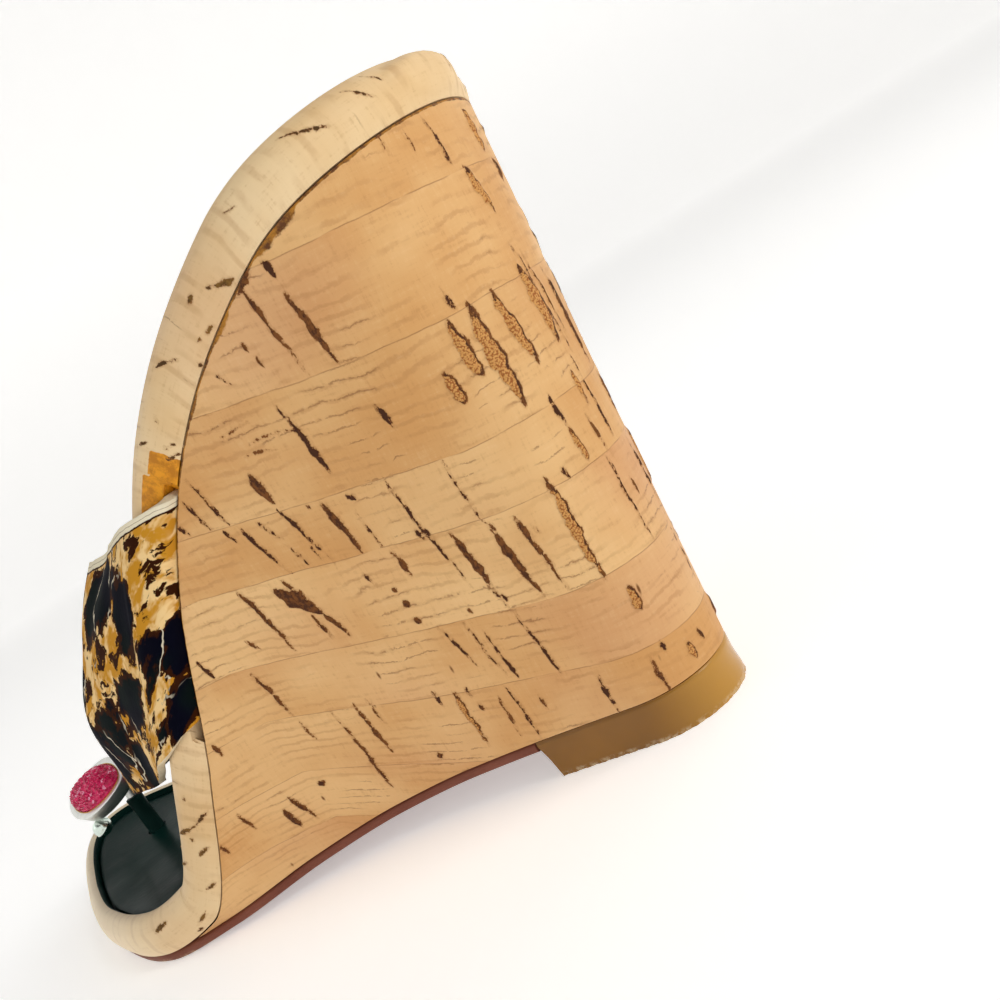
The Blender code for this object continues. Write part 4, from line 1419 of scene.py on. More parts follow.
@dataclass(frozen=True)
class Underside:
    """The thin outsole and the rubber top lift under the heel."""

    last: Last
    lift_height: float = 8.1
    breast: float = 45.5
    breast_lean: float = 1.6
    lift_columns: int = 150
    lift_levels: int = 26
    sole_columns: int = 420
    # The outsole's edge, from its underside up: height and how far inside the outline.
    edge: tuple[tuple[float, float], ...] = (
        (0.0, 6.0),
        (0.0, 1.2),
        (0.05, 0.6),
        (0.25, 0.2),
        (0.6, 0.0),
        (1.4, 0.0),
        (1.8, 0.25),
        (2.0, 0.6),
        (2.0, 6.0),
    )

    def lift(self) -> bpy.types.Object:
        """The lift, waisted a little, with a ragged moulding flash at its foot."""
        last = self.last
        level = self.lift_height * (1 - np.cos(np.linspace(0, math.pi, self.lift_levels + 1))) / 2
        walk = np.linspace(0.0, 1.0, self.lift_columns + 1)
        round_walk = last.rake + last.lift_round * (1 - np.cos(np.minimum(walk * 2, 1) * math.pi / 2))
        sides = []
        for side in Side:
            z = level[:, None]
            breast = self.breast - self.breast_lean * (1 - z / self.lift_height)
            straight = (breast - last.rake - last.lift_round) * np.clip(walk * 2 - 1, 0, 1)
            back = round_walk[None, :] + straight
            rim = np.minimum(z, self.lift_height - z)
            tuck = 0.35 * (1 - smooth_step(rim, 0.0, 0.6))
            waist = 0.22 * np.sin(z / self.lift_height * math.pi) ** 2
            arc = walk[None, :] * 48.0
            flash = 0.09 * (
                np.sin(arc * 1.7 + 0.6) + 0.7 * np.sin(arc * 4.1) + 0.5 * np.sin(arc * 9.3 + 1.0)
            )
            flash = (flash - 0.14) * (1 - smooth_step(z, 0.3, 1.3))
            ease = tuck * (z > self.lift_height / 2) + waist - np.minimum(flash, 0.0)
            x = last.base_outline(back, side.value, ease)
            back = back + ease * (1 - np.clip(walk[None, :] * 2, 0, 1))
            sides.append(np.stack([x, -back, np.broadcast_to(z, x.shape)], axis=-1))
        placed = [last.place(points) for points in sides]
        lift = Bench.shell("top_lift_rubber", placed[0], placed[1])
        # BC8A34 is the painted highlight colour, rising towards the heel's back.
        rubber = Rubber("lift_rubber", "8C5E18", "744C12", "BC8A34", 0.14, coat=0.4, painted_highlight_span=(0.082, 0.102))
        return Bench.finish(lift, [rubber.material()], "lift_rubber", ["top_lift"], 35.0)

    def sole(self) -> bpy.types.Object:
        """The outsole, with softly rounded edges."""
        last = self.last
        start, end = self.breast + last.gap, last.length - 0.5
        walk = np.linspace(0.0, 1.0, self.sole_columns + 1)
        back = np.where(
            walk < 0.7,
            start + (last.toe_start - start) * walk / 0.7,
            last.toe_start + (end - last.toe_start) * np.sin(
                np.clip((walk - 0.7) / 0.3, 0, 1) * math.pi / 2
            ),
        )
        sides = []
        for side in Side:
            points = []
            for height, inset in self.edge:
                x = last.base_outline(back, side.value, inset)
                z = last.through("under", back) + height
                points.append(
                    np.stack([x, -np.minimum(back, end - inset * (back > last.toe_start)), z], axis=-1)
                )
            sides.append(last.place(np.stack(points)))
        sole = Bench.shell("outsole_board", sides[0], sides[1])
        rubber = Rubber("sole_rubber", "85503F", "6B3A2C", "96634E", 0.5, tread=1.8)
        return Bench.finish(sole, [rubber.material()], "sole_rubber", ["outsole"], 35.0)

    def build(self) -> None:
        """Makes both pieces."""
        self.lift()
        self.sole()


class Fold(NamedTuple):
    """A line across the upper: where it leaves the seam, then its way over the instep on the outer side."""

    root: float
    side: tuple[float, float, float]
    shoulder: tuple[float, float, float]
    crest: tuple[float, float, float]


@dataclass(frozen=True)
class Upper:
    """The leather band over the instep, whose two wings are tucked under the footbed's edge."""

    last: Last
    wall: float = 1.6
    rows: int = 72
    spans: int = 14
    drift: float = 0.65
    side_shift: float = 0.3
    shoulder_shift: float = 0.6
    folds: tuple[Fold, ...] = (
        Fold(64.5, (25.5, -93.0, 79.5), (15.5, -111.0, 78.0), (-2.0, -122.0, 77.0)),
        Fold(73.5, (27.3, -104.0, 68.5), (17.3, -125.0, 66.0), (-3.5, -140.0, 62.0)),
        Fold(82.5, (26.3, -116.5, 52.5), (16.5, -140.0, 49.0), (-5.0, -158.5, 42.5)),
        Fold(91.0, (21.5, -126.8, 31.9), (10.2, -150.0, 28.0), (-7.4, -171.2, 23.8)),
    )
    # How far out of the seam's outline a wing has got, and how high, at the middle of its wall.
    turns: tuple[tuple[float, float], ...] = (
        (-7.5, 1.1),
        (-3.5, 1.1),
        (-1.0, 1.1),
        (0.5, 1.1),
        (1.5, 1.3),
        (2.1, 2.0),
        (2.4, 3.3),
        (2.5, 5.2),
        (2.25, 7.2),
        (1.45, 9.1),
        (0.3, 10.8),
    )

    def course(self, column: int) -> Array:
        """One column of the folds at every row, rear to front."""
        values = np.array([np.atleast_1d(fold[column]) for fold in self.folds], float)
        path = catmull(values, 200)
        return path[np.rint(np.linspace(0, len(path) - 1, self.rows + 1)).astype(int)]

    def wing(self, root: Array, side: Side) -> list[Array]:
        """A wing's points, from its tucked end to the top of the footbed's edge, for every row."""
        points = []
        for out, rise in self.turns:
            back = root + self.drift * rise
            edge = self.last.through("top_middle", back) + side.value * self.last.through("top_half", back)
            points.append(self.last.over_seam(edge + side.value * out, back, np.full_like(back, rise)))
        return points

    @staticmethod
    def soft_path(points: Array, spans: int) -> Array:
        """A curve through points that lie unevenly far apart, which never overshoots them."""
        ends = np.vstack([2 * points[0] - points[1], points, 2 * points[-1] - points[-2]])
        knots = np.concatenate([[0.0], np.cumsum(np.linalg.norm(np.diff(ends, axis=0), axis=1) ** 0.5)])
        path = []
        for i in range(1, len(ends) - 2):
            t0, t1, t2, t3 = knots[i - 1 : i + 3]
            p0, p1, p2, p3 = ends[i - 1 : i + 3]
            t = np.linspace(t1, t2, spans + 1)[:-1, None]
            a = (t1 - t) / (t1 - t0) * p0 + (t - t0) / (t1 - t0) * p1
            b = (t2 - t) / (t2 - t1) * p1 + (t - t1) / (t2 - t1) * p2
            c = (t3 - t) / (t3 - t2) * p2 + (t - t2) / (t3 - t2) * p3
            ab = (t2 - t) / (t2 - t0) * a + (t - t0) / (t2 - t0) * b
            bc = (t3 - t) / (t3 - t1) * b + (t - t1) / (t3 - t1) * c
            path.append((t2 - t) / (t2 - t1) * ab + (t - t1) / (t2 - t1) * bc)
        return np.vstack(path + [points[-1:]])

    def middle_surface(self) -> Array:
        """The middle of the wall, by row and column."""
        root = self.course(0)[:, 0]
        side, shoulder, crest = (self.course(column) for column in (1, 2, 3))
        far = []
        for point, shift in ((shoulder, self.shoulder_shift), (side, self.side_shift)):
            mirrored = point.copy()
            mirrored[:, 0] = 2 * crest[:, 0] * shift - point[:, 0]
            far.append(mirrored)
        outer, inner = self.wing(root, Side.OUTER), self.wing(root, Side.INNER)
        lines = np.stack([*outer, side, shoulder, crest, *far, *inner[::-1]], axis=1)
        return np.stack([self.soft_path(line, self.spans) for line in lines])

    def build(self) -> bpy.types.Object:
        """Makes the upper: print leather outside, lining inside and a raw edge."""
        surface = self.middle_surface()
        columns = np.linalg.norm(np.diff(surface, axis=1), axis=2).mean(axis=0)
        around = np.concatenate([[0.0], np.cumsum(columns)])
        down = np.linalg.norm(np.diff(surface, axis=0), axis=2).mean(axis=1)
        along = np.concatenate([[0.0], np.cumsum(down)])
        chart = np.stack(np.meshgrid(around, along), axis=-1)
        normal = np.cross(np.gradient(surface, axis=0), np.gradient(surface, axis=1))
        normal /= np.linalg.norm(normal, axis=-1, keepdims=True)
        u, v = chart[..., 0], chart[..., 1]
        free = smooth_step(u, 24.0, 40.0) * smooth_step(around[-1] - u, 24.0, 40.0)
        sway = 0.45 * np.sin(u * 0.16 + v * 0.05) * np.sin(v * 0.19 + 1.0) + 0.18 * np.sin(
            u * 0.43 - v * 0.11
        )
        surface = surface + normal * (sway * free)[..., None]
        band = Bench.grid("upper_leather", self.last.place(surface), chart * MM)
        # The middle of the painted reflection of the stone: the band's front middle, beside the stone.
        stone_reflection_at = (around[-1] / 2 * MM, along[-1] * MM)
        finishes = [PrintLeather(stone_reflection_at).material(), Lining().material(), RawEdge().material()]
        for finish in finishes:
            band.data.materials.append(finish)
        Bench.apply(
            band,
            "SOLIDIFY",
            thickness=self.wall * MM,
            offset=0.0,
            use_even_offset=True,
            use_rim=True,
            material_offset=1,
            material_offset_rim=2,
        )
        Bench.soften(band, 0.18, 2, 60.0)
        return Bench.finish(band, finishes, "print_leather", ["upper"], 45.0)


@dataclass(frozen=True)
class PrintLeather:
    """Printed leather in dark spots on cream and gold, its coated face marked with fine pale cracks."""

    # Where the painted reflection of the pink stone is centred, on the band's chart.
    stone_reflection_at: tuple[float, float]
    name: str = "print_leather"
    gold: str = "C48A2A"
    cream: str = "EBC98F"
    brown: str = "34190B"
    night: str = "090A16"
    green: str = "0C1515"
    # The maroon of the stone's painted reflection.
    reflected_maroon: str = "6E0F36"
    crack: str = "D8CDB4"
    raw: str = "E6DCC2"
    spot: float = 14.5

    def material(self) -> bpy.types.Material:
        """Builds the material on the band's flat chart."""
        r = Recipe(self.name)
        chart = r.add("UVMap", uv_map="sheet")
        wobble = r.add("TexNoise", {"Vector": chart, "Scale": per_mm(7.0), "Detail": 3.0}, "Color")
        wobble = r.add("VectorMath", {0: wobble, 1: (0.5, 0.5, 0.5)}, **LESS)
        wobble = r.add("VectorMath", {0: wobble, "Scale": 10.0 * MM}, operation="SCALE")
        at = r.add("VectorMath", {0: chart, 1: wobble})

        # The ground: cream islands in gold, with brown flecks that run across the band.
        ground = r.add(
            "TexNoise", {"Vector": at, "Scale": per_mm(6.5), "Detail": 3.0, "Roughness": 0.6}, "Fac"
        )
        tone = r.add("MapRange", {"Value": ground, "From Min": 0.42, "From Max": 0.58}, **SOFT)
        colour = r.add("MixRGB", {0: tone, 1: linear(self.gold), 2: linear(self.cream)})
        fleck_at = r.add("VectorMath", {0: at, 1: (0.5, 1.0, 1.0)}, **TIMES)
        fleck = r.add(
            "TexNoise", {"Vector": fleck_at, "Scale": per_mm(4.0), "Detail": 4.0, "Roughness": 0.6}, "Fac"
        )
        fleck = r.add("MapRange", {"Value": fleck, "From Min": 0.54, "From Max": 0.58}, **SOFT)
        colour = r.add("MixRGB", {0: fleck, 1: colour, 2: linear(self.brown)})

        # Large dark spots with brown margins.
        spots = r.add(
            "TexVoronoi", {"Vector": at, "Scale": per_mm(self.spot), "Randomness": 0.9}, "Distance"
        )
        rag = r.add(
            "TexNoise", {"Vector": chart, "Scale": per_mm(3.4), "Detail": 4.0, "Roughness": 0.65}, "Fac"
        )
        rag = r.add("Math", {0: r.add("Math", {0: rag, 1: 0.5}, **LESS), 1: 0.45}, **TIMES)
        spots = r.add("Math", {0: spots, 1: rag}, **PLUS)
        rim = r.add("MapRange", {"Value": spots, "From Min": 0.565, "From Max": 0.54}, **SOFT)
        core = r.add("MapRange", {"Value": spots, "From Min": 0.495, "From Max": 0.445}, **SOFT)
        deep = r.add("TexNoise", {"Vector": chart, "Scale": per_mm(16.0), "Detail": 1.0}, "Fac")
        deep = r.add("MapRange", {"Value": deep, "From Min": 0.42, "From Max": 0.56}, **SOFT)
        deep = r.add("MixRGB", {0: deep, 1: linear(self.night), 2: linear(self.green)})
        colour = r.add("MixRGB", {0: rim, 1: colour, 2: linear(self.brown)})
        colour = r.add("MixRGB", {0: core, 1: colour, 2: deep})

        # Painted reflection: beside the stone the print runs to maroon, the pink stone's reflection painted
        # into the glossy leather.
        away = r.add("VectorMath", {0: at, 1: (*self.stone_reflection_at, 0.0)}, "Value", operation="DISTANCE")
        red = r.add("MapRange", {"Value": away, "From Min": 15.0 * MM, "From Max": 5.0 * MM}, **SOFT)
        red = r.add("Math", {0: red, 1: 0.85}, **TIMES)
        colour = r.add("MixRGB", {0: red, 1: colour, 2: linear(self.reflected_maroon)})

        # A few pale curved cracks, across the dark spots only.
        vein = r.add(
            "TexVoronoi", {"Vector": at, "Scale": per_mm(15.0)}, "Distance", feature="DISTANCE_TO_EDGE"
        )
        vein = r.add("MapRange", {"Value": vein, "From Min": 0.02, "From Max": 0.008})
        broken = r.add("TexNoise", {"Vector": chart, "Scale": per_mm(9.0), "Detail": 2.0}, "Fac")
        broken = r.add("MapRange", {"Value": broken, "From Min": 0.47, "From Max": 0.56})
        vein = r.add("Math", {0: vein, 1: broken}, **TIMES)
        vein = r.add("Math", {0: vein, 1: rim}, **TIMES)
        colour = r.add("MixRGB", {0: vein, 1: colour, 2: linear(self.crack)})

        # The rear edge is skived and left raw for two millimetres, with a dark line where the print starts.
        down = r.add("SeparateXYZ", {0: chart}, "Y")
        fray = r.add("TexNoise", {"Vector": chart, "Scale": per_mm(1.6), "Detail": 3.0}, "Fac")
        fray = r.add("Math", {0: fray, 1: 0.5 * MM}, **TIMES)
        down = r.add("Math", {0: down, 1: fray}, **PLUS)
        edged = r.add("MapRange", {"Value": down, "From Min": 2.75 * MM, "From Max": 2.55 * MM})
        bare = r.add("MapRange", {"Value": down, "From Min": 2.3 * MM, "From Max": 2.15 * MM})
        fold = r.add(
            "MapRange", {"Value": r.add("Math", {0: down, 1: 1.3 * MM, 2: 0.09 * MM}, operation="COMPARE")}
        )
        pale = r.add(
            "MixRGB",
            {0: r.add("Math", {0: fold, 1: 0.55}, **TIMES), 1: linear(self.raw), 2: linear("7A5A34")},
        )
        colour = r.add("MixRGB", {0: edged, 1: colour, 2: linear(self.brown)})
        colour = r.add("MixRGB", {0: bare, 1: colour, 2: pale})

        grain = r.add("TexVoronoi", {"Vector": chart, "Scale": per_mm(0.9)}, "Distance")
        height = r.add("Math", {0: r.add("Math", {0: grain, 1: 0.35}, **TIMES), 1: vein}, **LESS)
        height = r.add("Math", {0: height, 1: edged}, **LESS)
        bump = r.add("Bump", {"Strength": 0.3, "Distance": 0.18 * MM, "Height": height})
        rough = r.add("MapRange", {"Value": ground, "To Min": 0.42, "To Max": 0.55})
        rough = r.add("Math", {0: rough, 1: r.add("Math", {0: bare, 1: 0.8}, **TIMES)}, **MOST)
        return r.give(
            Base_Color=colour, Roughness=rough, Normal=bump, Specular_IOR_Level=0.3, IOR=1.05
        )


@dataclass(frozen=True)
class Lining:
    """Smooth dyed kid leather, satin, with a fine pebble."""

    name: str = "lining_leather"

    def material(self) -> bpy.types.Material:
        """Builds the material."""
        r = Recipe(self.name)
        chart = r.add("UVMap", uv_map="sheet")
        cloud = r.add("TexNoise", {"Vector": chart, "Scale": per_mm(14.0), "Detail": 4.0}, "Fac")
        grain = r.add("TexVoronoi", {"Vector": chart, "Scale": per_mm(0.8)}, "Distance")
        colour = r.add("MixRGB", {0: cloud, 1: linear("152A28"), 2: linear("26403B")})
        bump = r.add("Bump", {"Strength": 0.25, "Distance": 0.15 * MM, "Height": grain})
        return r.give(Base_Color=colour, Roughness=0.42, Normal=bump)


@dataclass(frozen=True)
class RawEdge:
    """The cut edge of undyed leather: pale, matt and fibrous."""

    name: str = "raw_leather_edge"

    def material(self) -> bpy.types.Material:
        """Builds the material."""
        r = Recipe(self.name)
        at = r.add("TexCoord", out="Object")
        fibre = r.add(
            "TexNoise", {"Vector": at, "Scale": per_mm(0.7), "Detail": 4.0, "Roughness": 0.7}, "Fac"
        )
        patch = r.add("TexNoise", {"Vector": at, "Scale": per_mm(5.0), "Detail": 2.0}, "Fac")
        colour = r.add("MixRGB", {0: patch, 1: linear("E6DCC4"), 2: linear("C9B58C")})
        dark = r.add("MapRange", {"Value": fibre, "From Min": 0.55, "From Max": 0.75, "To Max": 0.45})
        colour = r.add("MixRGB", {0: dark, 1: colour, 2: linear("8C6A42")})
        bump = r.add("Bump", {"Strength": 0.5, "Distance": 0.2 * MM, "Height": fibre})
        return r.give(Base_Color=colour, Roughness=0.85, Normal=bump)


@dataclass(frozen=True)
class Silver:
    """Rhodium-plated zinc, polished: a bright neutral mirror, slightly worn."""

    name: str = "silver_metal"
    tint: str = "ECECE8"
    worn: str = "CFD2CC"
    roughness: float = 0.28

    def material(self) -> bpy.types.Material:
        """Builds the material."""
        r = Recipe(self.name)
        at = r.add("TexCoord", out="Object")
        wear = r.add(
            "TexNoise", {"Vector": at, "Scale": per_mm(1.4), "Detail": 4.0, "Roughness": 0.7}, "Fac"
        )
        colour = r.add("MixRGB", {0: wear, 1: linear(self.tint), 2: linear(self.worn)})
        rough = r.add("MapRange", {"Value": wear, "To Min": self.roughness, "To Max": self.roughness + 0.2})
        bump = r.add("Bump", {"Strength": 0.08, "Distance": 0.1 * MM, "Height": wear})
        return r.give(Base_Color=colour, Roughness=rough, Metallic=1.0, Normal=bump)


@dataclass(frozen=True)
class Druzy:
    """A crust of tiny dyed quartz crystals: deep pink, each facet a little lighter or darker, and a few given
    a pale pink painted glint.
    """

    name: str = "pink_stone"
    crystal: float = 0.75

    def material(self) -> bpy.types.Material:
        """Builds the material."""
        r = Recipe(self.name)
        at = r.add("TexCoord", out="Object")
        facet = r.add("TexVoronoi", {"Vector": at, "Scale": per_mm(self.crystal)}, "Color")
        edge = r.add("TexVoronoi", {"Vector": at, "Scale": per_mm(self.crystal)}, "Distance")
        tone = r.add("SeparateXYZ", {0: facet}, "X")
        colour = r.add("MixRGB", {0: tone, 1: linear("B80444"), 2: linear("F01C6C")})
        # Painted highlight: a few facets get a pale pink glint colour.
        glint = r.add("MapRange", {"Value": tone, "From Min": 0.93, "From Max": 0.96})
        colour = r.add("MixRGB", {0: glint, 1: colour, 2: linear("F7A6C4")})
        rough = r.add("MapRange", {"Value": tone, "To Min": 0.08, "To Max": 0.35})
        bump = r.add("Bump", {"Strength": 0.9, "Distance": 0.35 * MM, "Height": edge})
        return r.give(
            Base_Color=colour,
            Roughness=rough,
            Normal=bump,
            IOR=1.54,
            Specular_IOR_Level=0.3,
            Coat_Weight=0.1,
            Coat_Roughness=0.05,
        )


@dataclass(frozen=True)
class Ornament:
    """The set stone over the toe post, and the post itself."""

    last: Last
    place: tuple[float, float, float] = (-8.0, -186.6, 25.0)
    facing: tuple[float, float, float] = (0.55, -0.1, 0.83)
    heading: tuple[float, float, float] = (0.12, 1.0, 0.0)
    half_length: float = 14.0
    half_width: float = 8.2
    # The power and the root that shape the pointed oval.
    oval_power: float = 1.7
    oval_root: float = 0.62
    dome: float = 4.0
    bezel_wall: float = 1.8
    bezel_height: float = 3.4
    bezel_floor: float = 1.0
    # How far the cup's foot is drawn in, and how high that reaches.
    foot_inset: float = 0.6
    foot_height: float = 0.7
    ledge: float = 0.28
    ledge_drop: float = 0.5
    gilt_width: float = 0.26
    gilt_height: float = 0.3
    crystals: int = 900
    crust: float = 0.35
    seed: int = 3
    stem: float = 1.5
    bead: float = 2.6
    post: float = 2.2
    post_top: float = 20.5
    # How far below the footbed's top the sock lies on the board, where the post stands.
    post_sunk: float = 2.9
    points: int = 96

    def axes(self) -> Matrix:
        """The ornament's own frame: X outwards, Y towards the heel and Z out of its face, in metres."""
        facing = Vector(self.facing).normalized()
        heading = Vector(self.heading)
        heading = (heading - facing * heading.dot(facing)).normalized()
        outwards = heading.cross(facing)
        turned = Matrix((outwards, heading, facing)).transposed().to_4x4()
        return Matrix.Translation(self.last.place(np.array(self.place))) @ turned

    def oval(self, name: str, inset: float, height: float) -> bpy.types.Object:
        """A flat pointed oval at a height of the ornament's frame, from a circle."""
        bpy.ops.object.select_all(action="DESELECT")
        bpy.ops.mesh.primitive_circle_add(
            vertices=self.points, radius=1.0, fill_type="NGON", location=(0, 0, 0)
        )
        disc = bpy.context.active_object
        disc.name = disc.data.name = name
        for vertex in disc.data.vertices:
            along = vertex.co.y
            width = (1 - min(1.0, abs(along)) ** self.oval_power) ** self.oval_root
            across = math.copysign(width, vertex.co.x) if abs(vertex.co.x) > 1e-6 else 0.0
            vertex.co = (
                across * (self.half_width - inset) * MM,
                along * (self.half_length - inset) * MM,
                height * MM,
            )
        return disc

    def bezel(self) -> bpy.types.Object:
        """The cup, with a ledge inside its rim, on its stem."""
        cup = self.oval("bezel_cup", self.foot_inset, 0.0)
        Bench.edit(cup)
        Bench.outwards()
        bpy.ops.mesh.extrude_region_move(TRANSFORM_OT_translate={"value": (0, 0, self.bezel_height * MM)})
        middle = self.bezel_height * MM / 2
        Bench.pick(
            cup, lambda f: len(f.verts) == self.points and f.calc_center_median().z > middle, "faces"
        )
        depth = self.bezel_height - self.ledge_drop - self.bezel_floor
        steps = ((self.bezel_wall, 0.0), (0.0, -self.ledge_drop), (self.ledge, 0.0), (0.0, -depth))
        width, length = self.half_width - self.foot_inset, self.half_length - self.foot_inset
        for inset, rise in steps:
            bpy.ops.mesh.extrude_region_move(TRANSFORM_OT_translate={"value": (0, 0, rise * MM)})
            bpy.ops.transform.resize(value=(1 - inset / width, 1 - inset / length, 1.0))
            width, length = width - inset, length - inset
        Bench.outwards()
        bpy.ops.object.mode_set(mode="OBJECT")
        for vertex in cup.data.vertices:
            if vertex.co.z > 0.1 * MM:
                spread = self.foot_inset * float(
                    smooth_step(np.array(vertex.co.z / MM), 0.0, self.foot_height)
                )
                vertex.co.x *= 1 + spread / self.half_width
                vertex.co.y *= 1 + spread / self.half_length
        Bench.soften(cup, 0.22, 3)
        cup.data.transform(self.axes())
        post = self.last.place(np.array([POST_X, -POST_BACK, 0.0]))
        low = self.post_top + self.last.gap
        lean = (self.place[0] - POST_X) * self.facing[0] / self.facing[2]
        reach = self.place[2] + self.bezel_floor / 2 + lean
        bpy.ops.object.select_all(action="DESELECT")
        middle = (post[0], post[1], (low + reach) / 2 * MM)
        bpy.ops.mesh.primitive_cylinder_add(
            vertices=40, radius=self.stem * MM, depth=(reach - low) * MM, location=middle
        )
        stem = bpy.context.active_object
        stem.data.transform(stem.matrix_world)
        stem.matrix_world = Matrix()
        Bench.combine(cup, stem, "UNION")
        return Bench.finish(cup, [Silver().material()], "silver_metal", ["bezel"], 40.0)

    def gilt_line(self) -> bpy.types.Object:
        """The thin gilt line that runs round the stone, on the inner edge of the cup's rim."""
        ring = self.oval("gilt_line", self.bezel_wall - 0.05, self.bezel_height - 0.2)
        Bench.edit(ring)
        bpy.ops.mesh.select_all(action="SELECT")
        bpy.ops.mesh.inset(thickness=self.gilt_width * MM)
        bpy.ops.mesh.delete(type="FACE")
        bpy.ops.object.mode_set(mode="OBJECT")
        Bench.apply(ring, "SOLIDIFY", thickness=self.gilt_height * MM, offset=1.0)
        Bench.soften(ring, 0.08, 2)
        ring.data.transform(self.axes())
        gilt = Silver("gilt_metal", "C79A3C", "A8741C", 0.2)
        return Bench.finish(ring, [gilt.material()], "silver_metal", [], 40.0)

    def stone(self) -> bpy.types.Object:
        """The domed crust of crystals."""
        inset = self.bezel_wall + self.last.gap
        low, edge = self.bezel_floor + self.last.gap, self.bezel_height - 0.4
        bpy.ops.object.select_all(action="DESELECT")
        bpy.ops.mesh.primitive_ico_sphere_add(subdivisions=6, radius=1.0, location=(0, 0, 0))
        stone = bpy.context.active_object
        stone.name = stone.data.name = "stone_crystals"
        Bench.edit(stone)
        bpy.ops.mesh.select_all(action="SELECT")
        bpy.ops.mesh.bisect(plane_co=(0, 0, 0), plane_no=(0, 0, -1), clear_outer=True, use_fill=False)
        Bench.pick(stone, lambda e: e.is_boundary)
        bpy.ops.mesh.extrude_edges_move(TRANSFORM_OT_translate={"value": (0, 0, -1)})
        bpy.ops.mesh.fill(use_beauty=True)
        Bench.outwards()
        bpy.ops.object.mode_set(mode="OBJECT")
        count = len(stone.data.vertices)
        flat = np.empty(count * 3, np.float32)
        stone.data.vertices.foreach_get("co", flat)
        co = flat.reshape(-1, 3).astype(float)
        draw = np.random.default_rng(self.seed)
        seeds = draw.normal(size=(self.crystals, 3))
        seeds /= np.linalg.norm(seeds, axis=1, keepdims=True)
        seeds[:, 2] = np.abs(seeds[:, 2])
        lean = draw.normal(size=(self.crystals, 3)) * 0.55
        nearest = np.argmax(co @ seeds.T, axis=1)
        off = co - seeds[nearest]
        crust = (lean[nearest] * off).sum(axis=1) * 8.0 + draw.uniform(-0.12, 0.12, self.crystals)[nearest]
        crust = np.clip(crust, -self.crust, self.crust) * (co[:, 2] > 0.04)
        radius = np.hypot(co[:, 0], co[:, 1])
        along = np.clip(co[:, 1] / np.maximum(radius, 1e-6), -1, 1)
        side = np.sign(np.where(np.abs(co[:, 0]) < 1e-6, 0, co[:, 0]))
        width = (1 - np.abs(along) ** self.oval_power) ** self.oval_root * side
        shaped = np.empty_like(co)
        shaped[:, 0] = width * radius * (self.half_width - inset)
        shaped[:, 1] = along * radius * (self.half_length - inset)
        dome = np.clip(co[:, 2], 0, 1)
        shaped[:, 2] = np.where(co[:, 2] < -0.5, low, edge + (self.dome - self.crust) * dome**0.9 + crust)
        stone.data.vertices.foreach_set("co", (shaped * MM).astype(np.float32).ravel())
        stone.data.transform(self.axes())
        stone.data.update()
        return Bench.finish(stone, [Druzy().material()], "pink_stone", ["stone"], 12.0)

    def beads(self) -> None:
        """The two metal beads under the cup, each with a collar."""
        axes = self.axes()
        for side, node in ((Side.OUTER, "bead_outer"), (Side.INNER, "bead_inner")):
            local = Vector(((self.half_width - 0.4) * side.value, -3.6, -(self.bead + self.last.gap))) * MM
            bpy.ops.object.select_all(action="DESELECT")
            bpy.ops.mesh.primitive_uv_sphere_add(
                segments=40, ring_count=24, radius=self.bead * MM, location=(0, 0, 0)
            )
            ball = bpy.context.active_object
            ball.name = ball.data.name = node + "_ball"
            for vertex in ball.data.vertices:
                belt = 1 - min(1.0, abs(vertex.co.z) / (0.42 * MM))
                crown = max(0.0, vertex.co.z / MM - 1.7)
                vertex.co *= 1 - 0.05 * (1 - belt) - 0.03 * crown
            ball.data.transform(axes @ Matrix.Translation(local))
            Bench.finish(
                ball,
                [Silver("bead_metal", "E4F0E8", "CBD8CE", 0.12).material()],
                "silver_metal",
                [node],
                30.0,
            )

    def toe_post(self) -> bpy.types.Object:
        """The leather-wrapped post, a little fuller at its foot."""
        back = np.array(POST_BACK)
        foot = float(self.last.through("seam", back) + self.last.thickness(back)) - self.post_sunk
        place = self.last.place(np.array([POST_X, -POST_BACK, (foot + self.post_top) / 2]))
        bpy.ops.object.select_all(action="DESELECT")
        height = (self.post_top - foot) * MM
        bpy.ops.mesh.primitive_cylinder_add(
            vertices=48, radius=self.post * MM, depth=height, end_fill_type="NGON", location=(0, 0, 0)
        )
        post = bpy.context.active_object
        post.name = post.data.name = "toe_post_leather"
        Bench.soften(post, 0.35, 3)
        Bench.edit(post)
        for cut in np.linspace(-0.42, 0.42, 12):
            bpy.ops.mesh.select_all(action="SELECT")
            bpy.ops.mesh.bisect(
                plane_co=(0, 0, float(cut) * height), plane_no=(0, 0, 1)
            )
        bpy.ops.object.mode_set(mode="OBJECT")
        for vertex in post.data.vertices:
            share = vertex.co.z / (height / 2)
            slim = 1 - 0.07 * max(0.0, 1 - share * share)
            angle = math.atan2(vertex.co.y, vertex.co.x)
            seam = 1 - 0.05 * math.exp(-((angle + 2.6) ** 2) / 0.012)
            vertex.co.x *= slim * seam
            vertex.co.y *= slim * seam
        post.data.transform(Matrix.Translation(place))
        leather = PatentLeather("post_leather", "0A1C19", "1B342F", 0.7)
        return Bench.finish(post, [leather.material()], "post_leather", ["toe_post"], 40.0)

    def build(self) -> None:
        """Makes the ornament's pieces."""
        self.bezel()
        self.gilt_line()
        self.stone()
        self.beads()
        self.toe_post()


